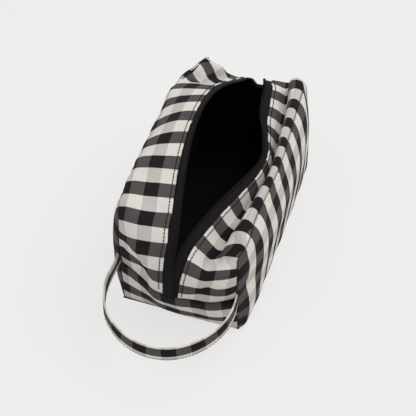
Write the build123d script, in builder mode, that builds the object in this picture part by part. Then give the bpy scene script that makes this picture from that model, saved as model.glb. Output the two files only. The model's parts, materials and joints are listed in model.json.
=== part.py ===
"""A boxy cloth toiletry bag, open, with a zipper over its top and a hang loop at one end.

Millimetres. X runs along the bag from the hang loop (-X) to the far end (+X), +Y is the bag's left
side seen from the loop, +Z is up. The origin is the middle of the flat base.
"""

from build123d import *
import os
from collections import namedtuple
from math import cos, radians, sin

os.makedirs("parts", exist_ok=True)

# The bag's box
LENGTH = 260.0
WIDTH = 125.0
END_X = LENGTH / 2
SIDE_Y = WIDTH / 2
NEAR_SEAM_Z = 51.0
FAR_SEAM_Z = 57.0
SEAM_GROOVE = 0.3

# Cloth layers, as depths under the outer face
OUTER_CLOTH = 1.4
OUTER_DEPTHS = (0.0, OUTER_CLOTH)
TAPE_DEPTHS = (1.7, 2.3)
LINING_DEPTHS = (2.7, 3.2)
TAPE_SHOWN = 9.0
TAPE_HIDDEN = 5.0
LINING_START = 11.5
LINING_INSET = 6.5
LINING_LIFT = 2.0
END_INSET = 1.5
CUT_POINTS = 15

# Zipper
COIL_WIDTH = 2.3
COIL_DEPTHS = (0.7, 3.1)
TAPE_REACH = (COIL_WIDTH + 0.15, TAPE_SHOWN + TAPE_HIDDEN)
ZIP_Y = -3.0
ZIP_FACE_X = END_X + 4.0

# Slider and its pull, centred on the closed zipper of the far end
SLIDER_Z = 92.0
SLIDER_LENGTH = 11.0
SLIDER_WIDTH = 10.8
SLIDER_PLATE = 1.1
FORK_Z = 88.0
FORK_SPREAD = 1.9
COIL_CLEARANCE = 0.35
TAPE_CLEARANCE = 0.35
DIAMOND_WIDTH = 1.3
DIAMOND_LENGTH = 2.2
BRIDGE_WIDTH = 2.2
BRIDGE_LENGTH = 7.0
BRIDGE_HEIGHT = 3.4
BRIDGE_WALL = 1.0
PULL_LENGTH = 26.0
PULL_WIDTH = 6.4
PULL_THICK = 1.4
PULL_EYE_WIDTH = 3.4
PULL_EYE_LENGTH = 5.6
PULL_BAR = 1.4
PULL_GAP = 0.4

# Hang loop: a strap on edge, in a plane that dips away from its two anchors
STRAP_WIDTH = 16.5
STRAP_THICK = 2.4
LOOP_PIVOT_X = -141.0
LOOP_PIVOT_Z = 54.0
LOOP_DIP = 13.0
LOOP_POINTS = 41

# A station is a cut through the bag: where it stands, how its outside leans, and the outer face
# from the zipper's coil to the shoulder seam as (y, height over the station).
Station = namedtuple("Station", "x z lean points")

LEFT_STATIONS = [
    Station(-END_X, NEAR_SEAM_Z, 90,
            [(0.3, 24), (10, 23.5), (18.4, 21.3), (28, 16.8), (47.6, 6.5), (57, 2.2), (61.5, 0.5)]),
    Station(-END_X, 80, 90, [(0.4, 25.5), (9, 24.8), (20, 22.6), (33, 15), (47, 7.5), (61.5, 0.6)]),
    Station(-END_X, 105, 90, [(-3, 21.5), (5, 21.2), (18, 21), (33, 17.5), (46, 10), (55, 5), (62, 1)]),
    Station(-118, 112, 45, [(-3.5, 26), (5, 25), (20, 23.8), (35, 22.8), (47, 20), (56, 14.5), (62, 7)]),
    Station(-101.5, 0, 0, [(2, 149), (10, 144.5), (29, 142), (45, 138.5), (57, 134.5), (64.5, 127)]),
    Station(-72.5, 0, 0, [(8, 159), (15, 153), (29, 150.5), (43, 147), (56, 141), (65.5, 131)]),
    Station(-43.5, 0, 0, [(11.5, 165.5), (18.5, 159), (31, 156), (44, 151), (57, 143), (67, 131)]),
    Station(-14.5, 0, 0, [(16.5, 168.5), (23.5, 162), (34, 159), (46, 154), (59, 144), (70, 128)]),
    Station(14.5, 0, 0, [(18.5, 167), (25.5, 161), (35, 158.5), (47, 153), (60, 144), (69.5, 131)]),
    Station(43.5, 0, 0, [(18.3, 157), (26, 152.5), (39, 150.5), (51, 148.5), (61, 145.5), (68.5, 139)]),
    Station(58, 0, 0, [(15.5, 150), (23.5, 147), (33, 143), (44, 140.5), (54, 142.5), (61, 144),
                       (67, 139.5)]),
    Station(72.5, 0, 0, [(14, 142), (22.5, 139.5), (30, 132), (38.5, 126.5), (46.5, 129), (54, 136),
                         (60.5, 140), (66, 137)]),
    Station(98, 0, 0, [(12, 127), (20.5, 124), (29, 119), (37, 118), (43.5, 122), (48, 129.5), (53, 136),
                       (57.5, 137), (60.5, 133)]),
    Station(112, 105, -45, [(5, 13.5), (13.5, 12.5), (24, 10.5), (33, 12.5), (40, 18), (49, 23), (55, 24),
                            (60, 21.5)]),
    Station(END_X, 98, -90, [(-1.4, 4), (7, 4), (26, 4), (42, 3.5), (53, 2), (60.5, 0)]),
    Station(END_X, FORK_Z, -90, [(-2.9, 4), (7, 4), (26, 4), (42, 3.5), (53, 2), (60.5, 0)]),
    Station(END_X, FAR_SEAM_Z, -90, [(-2.9, 4), (7, 4), (26, 4), (42, 3.5), (54, 2), (61, 0)]),
]

RIGHT_STATIONS = [
    Station(-END_X, NEAR_SEAM_Z, 90,
            [(-0.3, 24), (-10, 23.8), (-18.4, 23), (-34, 19.3), (-47.6, 13.2), (-56, 6), (-61.5, 0.4)]),
    Station(-END_X, 80, 90,
            [(-0.4, 25), (-10, 24), (-24, 22.2), (-38, 19.3), (-50, 13.8), (-57.5, 6.8), (-62, 1)]),
    Station(-END_X, 98, 90, [(-5, 21), (-14, 18), (-30, 12.5), (-44, 12), (-54, 9.5), (-62, 1)]),
    Station(-118, 100, 45,
            [(-10.5, 24.5), (-19, 21.5), (-28, 12.5), (-36, 8.5), (-45, 11), (-53, 15), (-58.5, 13.5),
             (-62, 9)]),
    Station(-108, 0, 0, [(-15.5, 120), (-24.5, 118.5), (-31.5, 109), (-39, 100.5), (-45, 109), (-51, 118),
                         (-58, 119.5), (-63.5, 115)]),
    Station(-87, 0, 0, [(-21.5, 120), (-30.5, 118), (-37.5, 109), (-43.5, 101.5), (-48.5, 111), (-54, 121.5),
                        (-59.5, 121.5), (-64, 115)]),
    Station(-58, 0, 0, [(-31, 119), (-39.5, 118), (-47.2, 104.5), (-51.2, 112.5), (-54.5, 121.5),
                        (-57, 125.7), (-62, 126), (-65.7, 118.5)]),
    Station(-29, 0, 0, [(-38, 117.5), (-46, 117), (-52, 106), (-55.3, 113.5), (-57.9, 122.5),
                        (-59.6, 127), (-64.7, 128), (-67.3, 120.5)]),
    Station(0, 0, 0, [(-41.5, 118.5), (-49, 118), (-54, 107), (-57, 114.5), (-59.3, 123.5),
                      (-60.9, 128.3), (-66, 129.3), (-68.5, 121.5)]),
    Station(29, 0, 0, [(-35.5, 118), (-43.5, 116.5), (-51, 106.5), (-54.5, 114), (-57, 124),
                       (-58.8, 129.5), (-64, 130.5), (-66.8, 122)]),
    Station(58, 0, 0, [(-24.5, 115.5), (-33, 113.5), (-46.5, 107), (-50.5, 115), (-53.2, 126),
                       (-55, 131.8), (-60.5, 133), (-63.8, 124.5)]),
    Station(87, 0, 0, [(-18, 115.5), (-27, 114), (-37, 112), (-44, 112), (-48, 121), (-51.5, 132),
                       (-56.5, 134), (-61, 127)]),
    Station(108, 0, 0, [(-13, 115.5), (-22, 113.5), (-33, 112.5), (-40, 113.5), (-44.5, 120.5),
                        (-48.5, 126.5), (-52.5, 127.5), (-56, 123)]),
    Station(112, 105, -45, [(-9.5, 13), (-18.5, 12), (-31, 10.5), (-39, 13.5), (-45.5, 18.5), (-50, 20.5),
                            (-54, 18.5)]),
    Station(END_X, 98, -90, [(-4.6, 4), (-13, 4), (-28, 4), (-42, 3.5), (-53, 2), (-59.5, 0)]),
    Station(END_X, FORK_Z, -90, [(-3.1, 4), (-13, 4), (-28, 4), (-42, 3.5), (-53, 2), (-60, 0)]),
    Station(END_X, FAR_SEAM_Z, -90, [(-3.1, 4), (-13, 4), (-28, 4), (-42, 3.5), (-54, 2), (-61, 0)]),
]

# Side panels: (x, height of the top edge, y of the top edge, y of the belly)
LEFT_SIDE = [
    (-127.5, 103, 61.6, 63.5), (-121, 112.5, 62, 68), (-112, 118.5, 62.8, 70), (-101.5, 124, 64, 71),
    (-72.5, 128, 65, 71), (-43.5, 128, 66.5, 71), (-14.5, 125, 69.5, 71.5), (14.5, 128, 69, 71),
    (43.5, 136, 68, 70.5), (58, 136.5, 66.5, 70), (72.5, 134, 65.5, 69), (98, 131, 60.5, 67),
    (112, 123, 60.5, 66), (122, 118, 60, 64), (126.5, 111, 60, 62.3),
]
RIGHT_SIDE = [
    (-127.5, 93, -61.6, -63.5), (-121, 102, -62, -68), (-108, 112, -63, -69.5), (-87, 112, -63.5, -70),
    (-58, 115, -65, -70), (-29, 117, -66.5, -70), (0, 118, -67.5, -70), (29, 119, -66, -69.5),
    (58, 122, -63, -69), (87, 124, -60.5, -68.5), (108, 119, -55.5, -67), (120, 114, -54.5, -65),
    (125.5, 106, -55.5, -62.3),
]

# Lower end panels: (height, bulge in the middle)
NEAR_END = [(OUTER_CLOTH + SEAM_GROOVE, 1.0), (18, 12.0), (36, 20.0), (NEAR_SEAM_Z - SEAM_GROOVE, 23.8)]
FAR_END = [(OUTER_CLOTH + SEAM_GROOVE, 0.5), (18, 2.0), (38, 3.5), (FAR_SEAM_Z - SEAM_GROOVE, 4.0)]
# How full each end panel is on its right and left, as shares of its bulge from one side to the other
NEAR_FULLNESS = (0.56, 0.97, 0.89, 0.27)
FAR_FULLNESS = (0.5, 0.95, 0.95, 0.5)

# The loop's middle line in its own plane, as (y, distance out from the pivot line)
LOOP_LINE = [
    (60.8, -8.5), (61.5, -3), (63.5, 2), (66.5, 9), (66.5, 18), (62.5, 32), (54, 47.5), (39, 61), (21, 70),
    (0, 73), (-20, 68.5), (-38, 57), (-52, 40.5), (-60, 22), (-62, 8), (-61.8, 2), (-61.2, -3),
    (-60.8, -8.5),
]


def station_plane(station):
    """The cutting plane of a station: local x is +Y, local y is the way the outside faces."""
    lean = radians(station.lean)
    return Plane(origin=(station.x, 0, station.z), x_dir=(0, 1, 0), z_dir=(cos(lean), 0, sin(lean)))


def cloth_cut(station, start, end, top, bottom):
    """Sketch one layer's cut edge at a station, between two distances along the face line from the
    zipper's middle and two depths under it. An end of None is the shoulder seam."""
    with BuildSketch(station_plane(station)) as cut:
        with BuildLine():
            face_line = Spline(station.points, mode=Mode.PRIVATE)
            side = 1 if station.points[-1][0] > 0 else -1
            last = end or face_line.length
            upper = []
            lower = []
            for i in range(CUT_POINTS):
                run = start + (last - start) * i / (CUT_POINTS - 1)
                at = face_line.position_at(run, position_mode=PositionMode.LENGTH)
                way = face_line.tangent_at(run, position_mode=PositionMode.LENGTH)
                upper.append((at.X + side * top * way.Y, at.Y - side * top * way.X))
                lower.append((at.X + side * bottom * way.Y, at.Y - side * bottom * way.X))
            shares = [i / (CUT_POINTS - 1) for i in range(CUT_POINTS)]
            add(Edge.make_spline([Vector(*point) for point in upper], parameters=shares))
            Line(upper[-1], lower[-1])
            add(Edge.make_spline([Vector(*point) for point in lower[::-1]], parameters=shares))
            Line(lower[0], upper[0])
        make_face()
    return cut.sketch


def side_cut(x, top_z, top_y, belly_y, depths):
    """Sketch a side panel's cut edge at a station along X, between two depths under its face."""
    way = 1 if top_y > 0 else -1
    top, bottom = depths
    foot_z = OUTER_CLOTH + SEAM_GROOVE + top
    swell = belly_y - way * SIDE_Y
    outline = [(way * SIDE_Y, foot_z), (belly_y - 0.3 * swell, 0.09 * top_z), (belly_y, 0.32 * top_z),
               (0.8 * belly_y + 0.2 * top_y, 0.68 * top_z), (top_y, top_z - top)]
    with BuildSketch(Plane(origin=(x, 0, 0), x_dir=(0, 1, 0), z_dir=(1, 0, 0))) as cut:
        with BuildLine():
            Spline([(y - way * top, z) for y, z in outline])
            Line((top_y - way * top, top_z - top), (top_y - way * bottom, top_z - top))
            Spline([(y - way * bottom, z) for y, z in outline[::-1]])
            Line((way * (SIDE_Y - bottom), foot_z), (way * (SIDE_Y - top), foot_z))
        make_face()
    return cut.sketch


def end_cut(facing, fullness, height, bulge, depths):
    """Sketch a lower end panel's cut edge at a height, between two depths under its face."""
    top, bottom = depths
    half = SIDE_Y - END_INSET - 0.6 * top
    across = (-0.78 * half, -0.3 * half, 0.3 * half, 0.78 * half)
    outline = [(-half, 0.3)] + [(y, share * bulge) for y, share in zip(across, fullness)] + [(half, 0.3)]
    plane = Plane(origin=(facing * END_X, 0, height), x_dir=(0, 1, 0), z_dir=(0, 0, -facing))
    with BuildSketch(plane) as cut:
        with BuildLine():
            Spline([(y, out - top) for y, out in outline])
            Line((half, 0.3 - top), (half, 0.3 - bottom))
            Spline([(y, out - bottom) for y, out in outline[::-1]])
            Line((-half, 0.3 - bottom), (-half, 0.3 - top))
        make_face()
    return cut.sketch


def add_spans(cuts):
    """Add a straight span from each cut edge to the next to the open part."""
    for near, far in zip(cuts, cuts[1:]):
        with BuildPart(mode=Mode.PRIVATE) as span:
            loft(sections=[near, far], ruled=True)
        add(span.part)


# Top halves: the panels that carry the zipper, over the top and down both ends
halves = []
for side, stations in (("left", LEFT_STATIONS), ("right", RIGHT_STATIONS)):
    with BuildPart() as top_panel:
        add_spans([cloth_cut(at, TAPE_SHOWN, None, *OUTER_DEPTHS) for at in stations])
    top_panel.part.label = f"top_panel_{side}"

    with BuildPart() as lining_top:
        add_spans([cloth_cut(at, LINING_START, None, *LINING_DEPTHS) for at in stations])
    lining_top.part.label = f"lining_top_{side}"

    with BuildPart() as zipper_tape:
        add_spans([cloth_cut(at, *TAPE_REACH, *TAPE_DEPTHS) for at in stations])
    zipper_tape.part.label = f"zipper_tape_{side}"

    with BuildPart() as zipper_coil:
        add_spans([cloth_cut(at, 0, COIL_WIDTH, *COIL_DEPTHS) for at in stations])
    zipper_coil.part.label = f"zipper_coil_{side}"
    halves += [top_panel, lining_top, zipper_tape, zipper_coil]

# Side panels and their lining
walls = []
for side, stations in (("left", LEFT_SIDE), ("right", RIGHT_SIDE)):
    with BuildPart() as side_panel:
        add_spans([side_cut(*at, OUTER_DEPTHS) for at in stations])
    side_panel.part.label = f"side_panel_{side}"

    with BuildPart() as lining_side:
        add_spans([side_cut(*at, LINING_DEPTHS) for at in stations[1:-1]])
    lining_side.part.label = f"lining_side_{side}"
    walls += [side_panel, lining_side]

# Lower end panels and their lining
for end, facing, fullness, heights in (
    ("near", -1, NEAR_FULLNESS, NEAR_END), ("far", 1, FAR_FULLNESS, FAR_END),
):
    with BuildPart() as end_panel:
        add_spans([end_cut(facing, fullness, *at, OUTER_DEPTHS) for at in heights])
    end_panel.part.label = f"{end}_end_panel"

    with BuildPart() as lining_end:
        add_spans([
            end_cut(facing, fullness, height + LINING_LIFT, bulge, LINING_DEPTHS)
            for height, bulge in heights[:-1]
        ])
    lining_end.part.label = f"lining_{end}_end"
    walls += [end_panel, lining_end]

# Base panel and its lining
with BuildPart() as base_panel:
    with BuildSketch():
        RectangleRounded(LENGTH, WIDTH, 3.0)
    extrude(amount=OUTER_CLOTH)
base_panel.part.label = "base_panel"

with BuildPart() as lining_base:
    with BuildSketch(Plane.XY.offset(LINING_DEPTHS[0])):
        RectangleRounded(LENGTH - 2 * LINING_INSET, WIDTH - 2 * LINING_INSET, 3.0)
    extrude(amount=LINING_DEPTHS[1] - LINING_DEPTHS[0])
lining_base.part.label = "lining_base"
walls += [base_panel, lining_base]

# Slider on the closed zipper of the far end
coil_mid_x = ZIP_FACE_X - (COIL_DEPTHS[0] + COIL_DEPTHS[1]) / 2
tape_mid_x = ZIP_FACE_X - (TAPE_DEPTHS[0] + TAPE_DEPTHS[1]) / 2
channel = (COIL_DEPTHS[1] - COIL_DEPTHS[0]) / 2 + COIL_CLEARANCE
plate_out_x = coil_mid_x + channel
plate_in_x = coil_mid_x - channel
slot = (TAPE_DEPTHS[1] - TAPE_DEPTHS[0]) / 2 + TAPE_CLEARANCE
flange_y = COIL_WIDTH + COIL_CLEARANCE + 0.1
slider_foot_z = SLIDER_Z - SLIDER_LENGTH / 2
slider_top_z = SLIDER_Z + SLIDER_LENGTH / 2
fork_y = flange_y + FORK_SPREAD

with BuildPart() as slider_body:
    with BuildSketch(Plane.YZ.offset(plate_in_x - SLIDER_PLATE)):
        with Locations((ZIP_Y, SLIDER_Z)):
            RectangleRounded(SLIDER_WIDTH, SLIDER_LENGTH, 1.6)
    extrude(amount=2 * (channel + SLIDER_PLATE))
    with BuildSketch(Plane.YZ.offset(plate_in_x)):
        with BuildLine():
            Polyline(
                (ZIP_Y - flange_y, slider_foot_z), (ZIP_Y - flange_y, FORK_Z),
                (ZIP_Y - fork_y, slider_top_z), (ZIP_Y + fork_y, slider_top_z),
                (ZIP_Y + flange_y, FORK_Z), (ZIP_Y + flange_y, slider_foot_z),
                close=True,
            )
        make_face()
    extrude(amount=2 * channel, mode=Mode.SUBTRACT)
    with BuildSketch(Plane.YZ.offset(tape_mid_x - slot)):
        with Locations((ZIP_Y, SLIDER_Z)):
            Rectangle(SLIDER_WIDTH + 1, SLIDER_LENGTH + 1)
    extrude(amount=2 * slot, mode=Mode.SUBTRACT)
    with BuildSketch(Plane.YZ.offset(plate_in_x - SLIDER_PLATE / 2)):
        with Locations((ZIP_Y, SLIDER_Z + SLIDER_LENGTH / 2 - DIAMOND_LENGTH / 2)):
            RectangleRounded(DIAMOND_WIDTH, DIAMOND_LENGTH, 0.6)
    extrude(amount=2 * channel + SLIDER_PLATE)
    with BuildSketch(Plane.XZ.offset(-ZIP_Y - BRIDGE_WIDTH / 2)):
        with Locations((plate_out_x + SLIDER_PLATE, SLIDER_Z)):
            Ellipse(BRIDGE_HEIGHT, BRIDGE_LENGTH / 2)
            Ellipse(BRIDGE_HEIGHT - BRIDGE_WALL, BRIDGE_LENGTH / 2 - BRIDGE_WALL, mode=Mode.SUBTRACT)
        with Locations((plate_out_x + SLIDER_PLATE / 2 - BRIDGE_HEIGHT / 2, SLIDER_Z)):
            Rectangle(BRIDGE_HEIGHT, 2 * BRIDGE_LENGTH, mode=Mode.SUBTRACT)
    extrude(amount=BRIDGE_WIDTH)
slider_body.part.label = "slider_body"

# Pull tab, hanging from the slider's bridge by the bar across its eye
pull_x = plate_out_x + SLIDER_PLATE + PULL_BAR / 2 + PULL_GAP
with BuildPart() as pull_tab:
    with BuildSketch(Plane.YZ.offset(pull_x - PULL_THICK / 2)):
        with Locations((ZIP_Y, SLIDER_Z + PULL_BAR / 2 - PULL_LENGTH / 2)):
            RectangleRounded(PULL_WIDTH, PULL_LENGTH, 1.6)
        with Locations((ZIP_Y, SLIDER_Z - PULL_BAR / 2 - PULL_EYE_LENGTH / 2)):
            RectangleRounded(PULL_EYE_WIDTH, PULL_EYE_LENGTH, 0.5, mode=Mode.SUBTRACT)
        with Locations((ZIP_Y, SLIDER_Z + PULL_BAR / 2 - PULL_LENGTH + 4.2)):
            Circle(1.5, mode=Mode.SUBTRACT)
    extrude(amount=PULL_THICK)
    fillet(pull_tab.edges().filter_by(GeomType.CIRCLE).group_by(Axis.Z)[0], 0.3)
pull_tab.part.label = "pull_tab"

# Hang loop: the strap stands on edge in a plane that dips away from the bag
dip = radians(LOOP_DIP)
loop_plane = Plane(
    origin=(LOOP_PIVOT_X, 0, LOOP_PIVOT_Z), x_dir=(0, 1, 0), z_dir=(-sin(dip), 0, cos(dip))
)
with BuildPart(mode=Mode.PRIVATE) as strap_room:
    with BuildSketch(Plane.XZ.offset(-WIDTH)):
        with Locations((LOOP_PIVOT_X, LOOP_PIVOT_Z)):
            Circle(STRAP_WIDTH / 2)
            with Locations(Rotation(0, 0, LOOP_DIP)):
                Rectangle(LENGTH, STRAP_WIDTH, align=(Align.MAX, Align.CENTER))
    extrude(amount=2 * WIDTH)

with BuildPart() as handle_strap:
    with BuildSketch(loop_plane):
        with BuildLine():
            strap_line = Spline(LOOP_LINE, mode=Mode.PRIVATE)
            edges = {STRAP_THICK / 2: [], -STRAP_THICK / 2: []}
            for shift, edge in edges.items():
                for i in range(LOOP_POINTS):
                    at = strap_line.position_at(i / (LOOP_POINTS - 1))
                    way = strap_line.tangent_at(i / (LOOP_POINTS - 1))
                    edge.append((at.X - shift * way.Y, at.Y + shift * way.X))
            outer, inner = edges.values()
            Spline(outer)
            Line(outer[-1], inner[-1])
            Spline(inner[::-1])
            Line(inner[0], outer[0])
        make_face()
    extrude(amount=STRAP_WIDTH / 2, both=True)
    add(strap_room.part, mode=Mode.INTERSECT)
handle_strap.part.label = "handle_strap"

for piece in halves + walls + [slider_body, pull_tab, handle_strap]:
    export_step(piece.part, f"parts/{piece.part.label}.step")
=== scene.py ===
"""The looks of a checked cloth toiletry bag that stands open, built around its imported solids.

Places are in millimetres from the middle of the base: x runs from the end with the hang loop to the
other end, y runs from the low half of the top to the high half, and z runs up. The cloth is held as
lines measured across each panel, and every piece is worked out from them as a grid of places.
"""

from __future__ import annotations

import json
import logging
import math
from dataclasses import dataclass, field
from enum import Enum

import bpy
import numpy as np
from mathutils import Matrix, Vector

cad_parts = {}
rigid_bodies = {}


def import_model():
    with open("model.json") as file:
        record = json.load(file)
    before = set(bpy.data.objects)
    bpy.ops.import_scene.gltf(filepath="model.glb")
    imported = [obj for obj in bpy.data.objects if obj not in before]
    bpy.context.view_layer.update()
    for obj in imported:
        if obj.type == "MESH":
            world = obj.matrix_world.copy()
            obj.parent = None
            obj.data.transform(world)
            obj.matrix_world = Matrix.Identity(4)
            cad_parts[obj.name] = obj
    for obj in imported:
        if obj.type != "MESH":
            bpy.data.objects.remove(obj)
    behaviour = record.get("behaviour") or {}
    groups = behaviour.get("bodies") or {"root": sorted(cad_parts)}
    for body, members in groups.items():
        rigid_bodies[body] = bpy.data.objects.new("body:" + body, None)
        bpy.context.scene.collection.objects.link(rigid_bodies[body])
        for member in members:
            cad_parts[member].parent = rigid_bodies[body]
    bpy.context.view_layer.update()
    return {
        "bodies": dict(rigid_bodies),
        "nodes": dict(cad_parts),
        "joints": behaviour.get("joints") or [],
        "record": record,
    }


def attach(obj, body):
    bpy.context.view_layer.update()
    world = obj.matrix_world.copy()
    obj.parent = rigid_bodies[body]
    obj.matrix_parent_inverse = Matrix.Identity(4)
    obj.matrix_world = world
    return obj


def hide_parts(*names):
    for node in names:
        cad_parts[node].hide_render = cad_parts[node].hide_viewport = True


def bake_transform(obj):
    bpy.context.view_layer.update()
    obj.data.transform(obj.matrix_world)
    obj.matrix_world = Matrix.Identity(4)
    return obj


LOG = logging.getLogger("toiletry_bag")

MM = 0.001

# The check: two rows together, one row or column, where the middle of a dark row lies, and how many
# columns from the zip or the shoulder the middle of a dark column lies
ROW_PAIR = 29.0
CHECK = 14.5
DARK_ROW = 101.5
DARK_COLUMN = 1.5

# How thick each cloth is, and how far inside the outer face the lining hangs
CLOTH_THICK = 1.2
TAPE_THICK = 0.5
LINING_THICK = 0.5
LINING_DEPTH = 3.4

# How deep and how wide a seam is
SEAM_DEPTH = 1.3
SEAM_ROLL = 1.5

# Half the base's length, half its width inside the seams, and where the closed zip runs
BASE_X = 130.0
BASE_Y = 62.3
ZIP_Y = -3.0

# Places along the cloth: the end seams of the strips, and the corners of the long walls
NEAR_SEAM = -210.0
FAR_SEAM = 187.0
CORNER_NEAR = -137.75
CORNER_FAR = 137.75

# For shares of the way down an end wall, the share of the way from its top's x to its foot's
NEAR_BULGE = ((0, 0), (0.16, 0.04), (0.37, 0.2), (0.72, 0.55), (1, 1))
FAR_BULGE = ((0, 0), (0.3, -0.1), (0.6, 0.1), (0.85, 0.5), (1, 1))

# How many places a smooth line is measured with, and the least length that a vector is divided by
LINE_STEPS = 400
TINY = 1e-12

Place = tuple[float, float, float]
Colour = tuple[float, float, float, float]


class Side(Enum):
    """The half of the bag on each side of the zip, with the sign of y there."""

    LEFT = 1
    RIGHT = -1


class End(Enum):
    """The two ends of the bag, with the sign of x there."""

    NEAR = -1
    FAR = 1


@dataclass(frozen=True)
class Line:
    """One line measured across a panel.

    The places run from the zip to the shoulder on the top, and from the shoulder down on a wall. Draw
    is how much cloth lies in each millimetre of the line, which is under one where a fold is shallower.
    """

    along: float
    places: tuple[Place, ...]
    draw: float = 1.0


def level(along: float, x: float, *section: tuple[float, float], draw: float = 1.0) -> Line:
    """Makes a measured line that keeps one x.

    Args:
        along: the line's place along the cloth.
        x: the x that all its places share.
        section: the (y, z) of each place.
        draw: how much cloth lies in each millimetre of it.

    Returns:
        The line.
    """
    return Line(along, tuple((x, y, z) for y, z in section), draw)


# The lines of the two strips beside the zip, from the near end seam over the top to the far one
LEFT_LINES = (
    Line(NEAR_SEAM, ((-156, 7.2, 58.5), (-155.5, 13, 58.5), (-154, 19, 59), (-149, 26, 59.5),
                     (-143.5, 34, 58.5), (-138, 42, 56.5), (-133, 50, 55.5), (-130, 60.3, 57))),
    Line(-195.75, ((-155.5, 6.7, 74.5), (-155, 12.9, 74), (-154, 18.2, 74.5), (-152, 22.2, 77.3),
                   (-148, 27, 78.5), (-145, 31.7, 77.9), (-142, 38, 75.8), (-139, 44.6, 73),
                   (-136, 50, 70.4), (-131, 60.5, 69))),
    Line(-181.25, ((-153.5, 6.4, 90.4), (-154, 14.2, 89.3), (-153, 21.2, 88.4), (-150, 27.5, 86.3),
                   (-146, 32.4, 85.9), (-142, 39.1, 85), (-137.5, 48, 84.7), (-134, 54.2, 85.5),
                   (-131, 61, 82.5))),
    Line(-166.75, ((-150, 5.7, 105.4), (-151, 16.2, 104.4), (-150, 28.2, 101.3), (-149, 33.7, 99.3),
                   (-146, 39.1, 98.8), (-141, 45.3, 98.1), (-136, 51.7, 96.3), (-131, 60.5, 93.5))),
    Line(-152.25, ((-145, 4.5, 120.4), (-145, 12, 118.5), (-145, 20.4, 117), (-144, 33.9, 114.5),
                   (-141, 41.9, 110.8), (-137, 50.5, 107.6), (-131, 59.6, 104.7))),
    Line(-137.75, ((-135, 6.5, 128.7), (-135.5, 20.9, 127), (-136, 35.6, 125.2), (-135, 47.5, 124),
                   (-131, 59, 119.5))),
    Line(-123.25, ((-123, 7.6, 137.3), (-123, 22.5, 133.4), (-124, 36.8, 132.1), (-124, 50.7, 131.9),
                   (-121, 62.5, 126))),
    level(-101.5, -101.5, (12.5, 142.5), (28, 140), (42, 137), (56, 134.5), (62.5, 131.5), (65.5, 127)),
    level(-72.5, -72.5, (18, 151.5), (34, 148), (48.5, 144.5), (60.5, 139.5), (64, 136), (66.5, 131)),
    level(-43.5, -43.5, (22, 158), (37.5, 153.5), (50.5, 147.5), (62.5, 139), (66, 135.5), (68.5, 130)),
    level(-14.5, -14.5, (23.6, 162), (40, 157), (51.5, 150), (63, 140), (68.5, 134), (70.5, 129.5)),
    level(14.5, 14.5, (24.2, 161.5), (40, 156.5), (53.5, 151), (65, 143), (68.5, 138.5), (70.5, 133)),
    level(43.5, 43.5, (23.8, 153.5), (39, 151), (54, 148), (65, 145), (69, 142), (71, 138)),
    Line(58, ((58, 22.5, 148), (59, 30, 144.5), (58.5, 45, 142.5), (57, 56, 143.3), (56, 66.5, 145))),
    Line(65.25, ((66, 22, 144.5), (67, 30, 138), (68, 42, 131), (67.5, 51, 132.5), (68, 57, 134),
                 (67, 60, 137.5), (66, 63, 141.8), (65, 66, 143.6)), 0.93),
    Line(72.5, ((73, 21.7, 140.5), (74, 29, 132), (74, 38, 125.5), (73.5, 45, 127), (73, 49.5, 132),
                (72.5, 53.5, 135.5), (72.5, 58, 139), (72.5, 64, 143.2)), 0.86),
    Line(79.75, ((80, 21, 136), (80.5, 28, 127), (80.5, 37, 121.5), (80, 44, 121.5), (80, 50.3, 126.8),
                 (80, 54.4, 130.9), (80, 57.3, 135.7), (80, 60.1, 140.4), (79, 62.5, 142.5)), 0.84),
    level(87, 87, (20, 132.3), (28, 123.5), (36, 119.5), (43, 121.5), (47.5, 126), (51, 132),
          (55.5, 139), (60.5, 141.3), draw=0.84),
    level(94.25, 94, (19.6, 128), (28, 120.5), (35, 118.3), (40.4, 119.5), (44.6, 121.9),
          (46.9, 124.8), (49.3, 130.4), (52.2, 136.6), (55.5, 140.3), (59.2, 141), draw=0.88),
    level(101.5, 101.5, (19, 123.4), (28, 117), (38, 116.5), (43, 120), (46, 125), (50, 132),
          (53, 138), (57.5, 140.3), draw=0.94),
    level(108.75, 108.5, (18.4, 119.5), (28, 114.5), (36, 113.3), (39.1, 114.6), (41.5, 119),
          (43.9, 125.3), (47.5, 132.1), (51, 137), (56.5, 138.5)),
    Line(123.25, ((122, 17, 111.5), (122, 24, 108), (121, 31.2, 108), (121, 34.3, 113.6),
                  (121, 38, 120.4), (121, 42, 123.5), (121.5, 52.2, 127.2), (121, 58.5, 131))),
    Line(CORNER_FAR, ((131, 13.5, 105), (131.5, 21, 103.5), (131.5, 30, 105), (131, 42, 108),
                      (130, 53, 112), (128, 60, 116))),
    Line(152.25, ((133.5, 7, 93), (133.5, 22, 93), (133, 38, 94), (132, 52, 96), (130, 60.5, 98))),
    Line(166.75, ((134, 6.5, 78), (134, 24, 78), (133.5, 40, 79), (132, 52, 80), (130, 61, 81))),
    Line(FAR_SEAM, ((134, 6.5, 57), (134, 24, 57), (133.5, 40, 57), (132, 53, 57), (130, 61, 57))),
)

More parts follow.
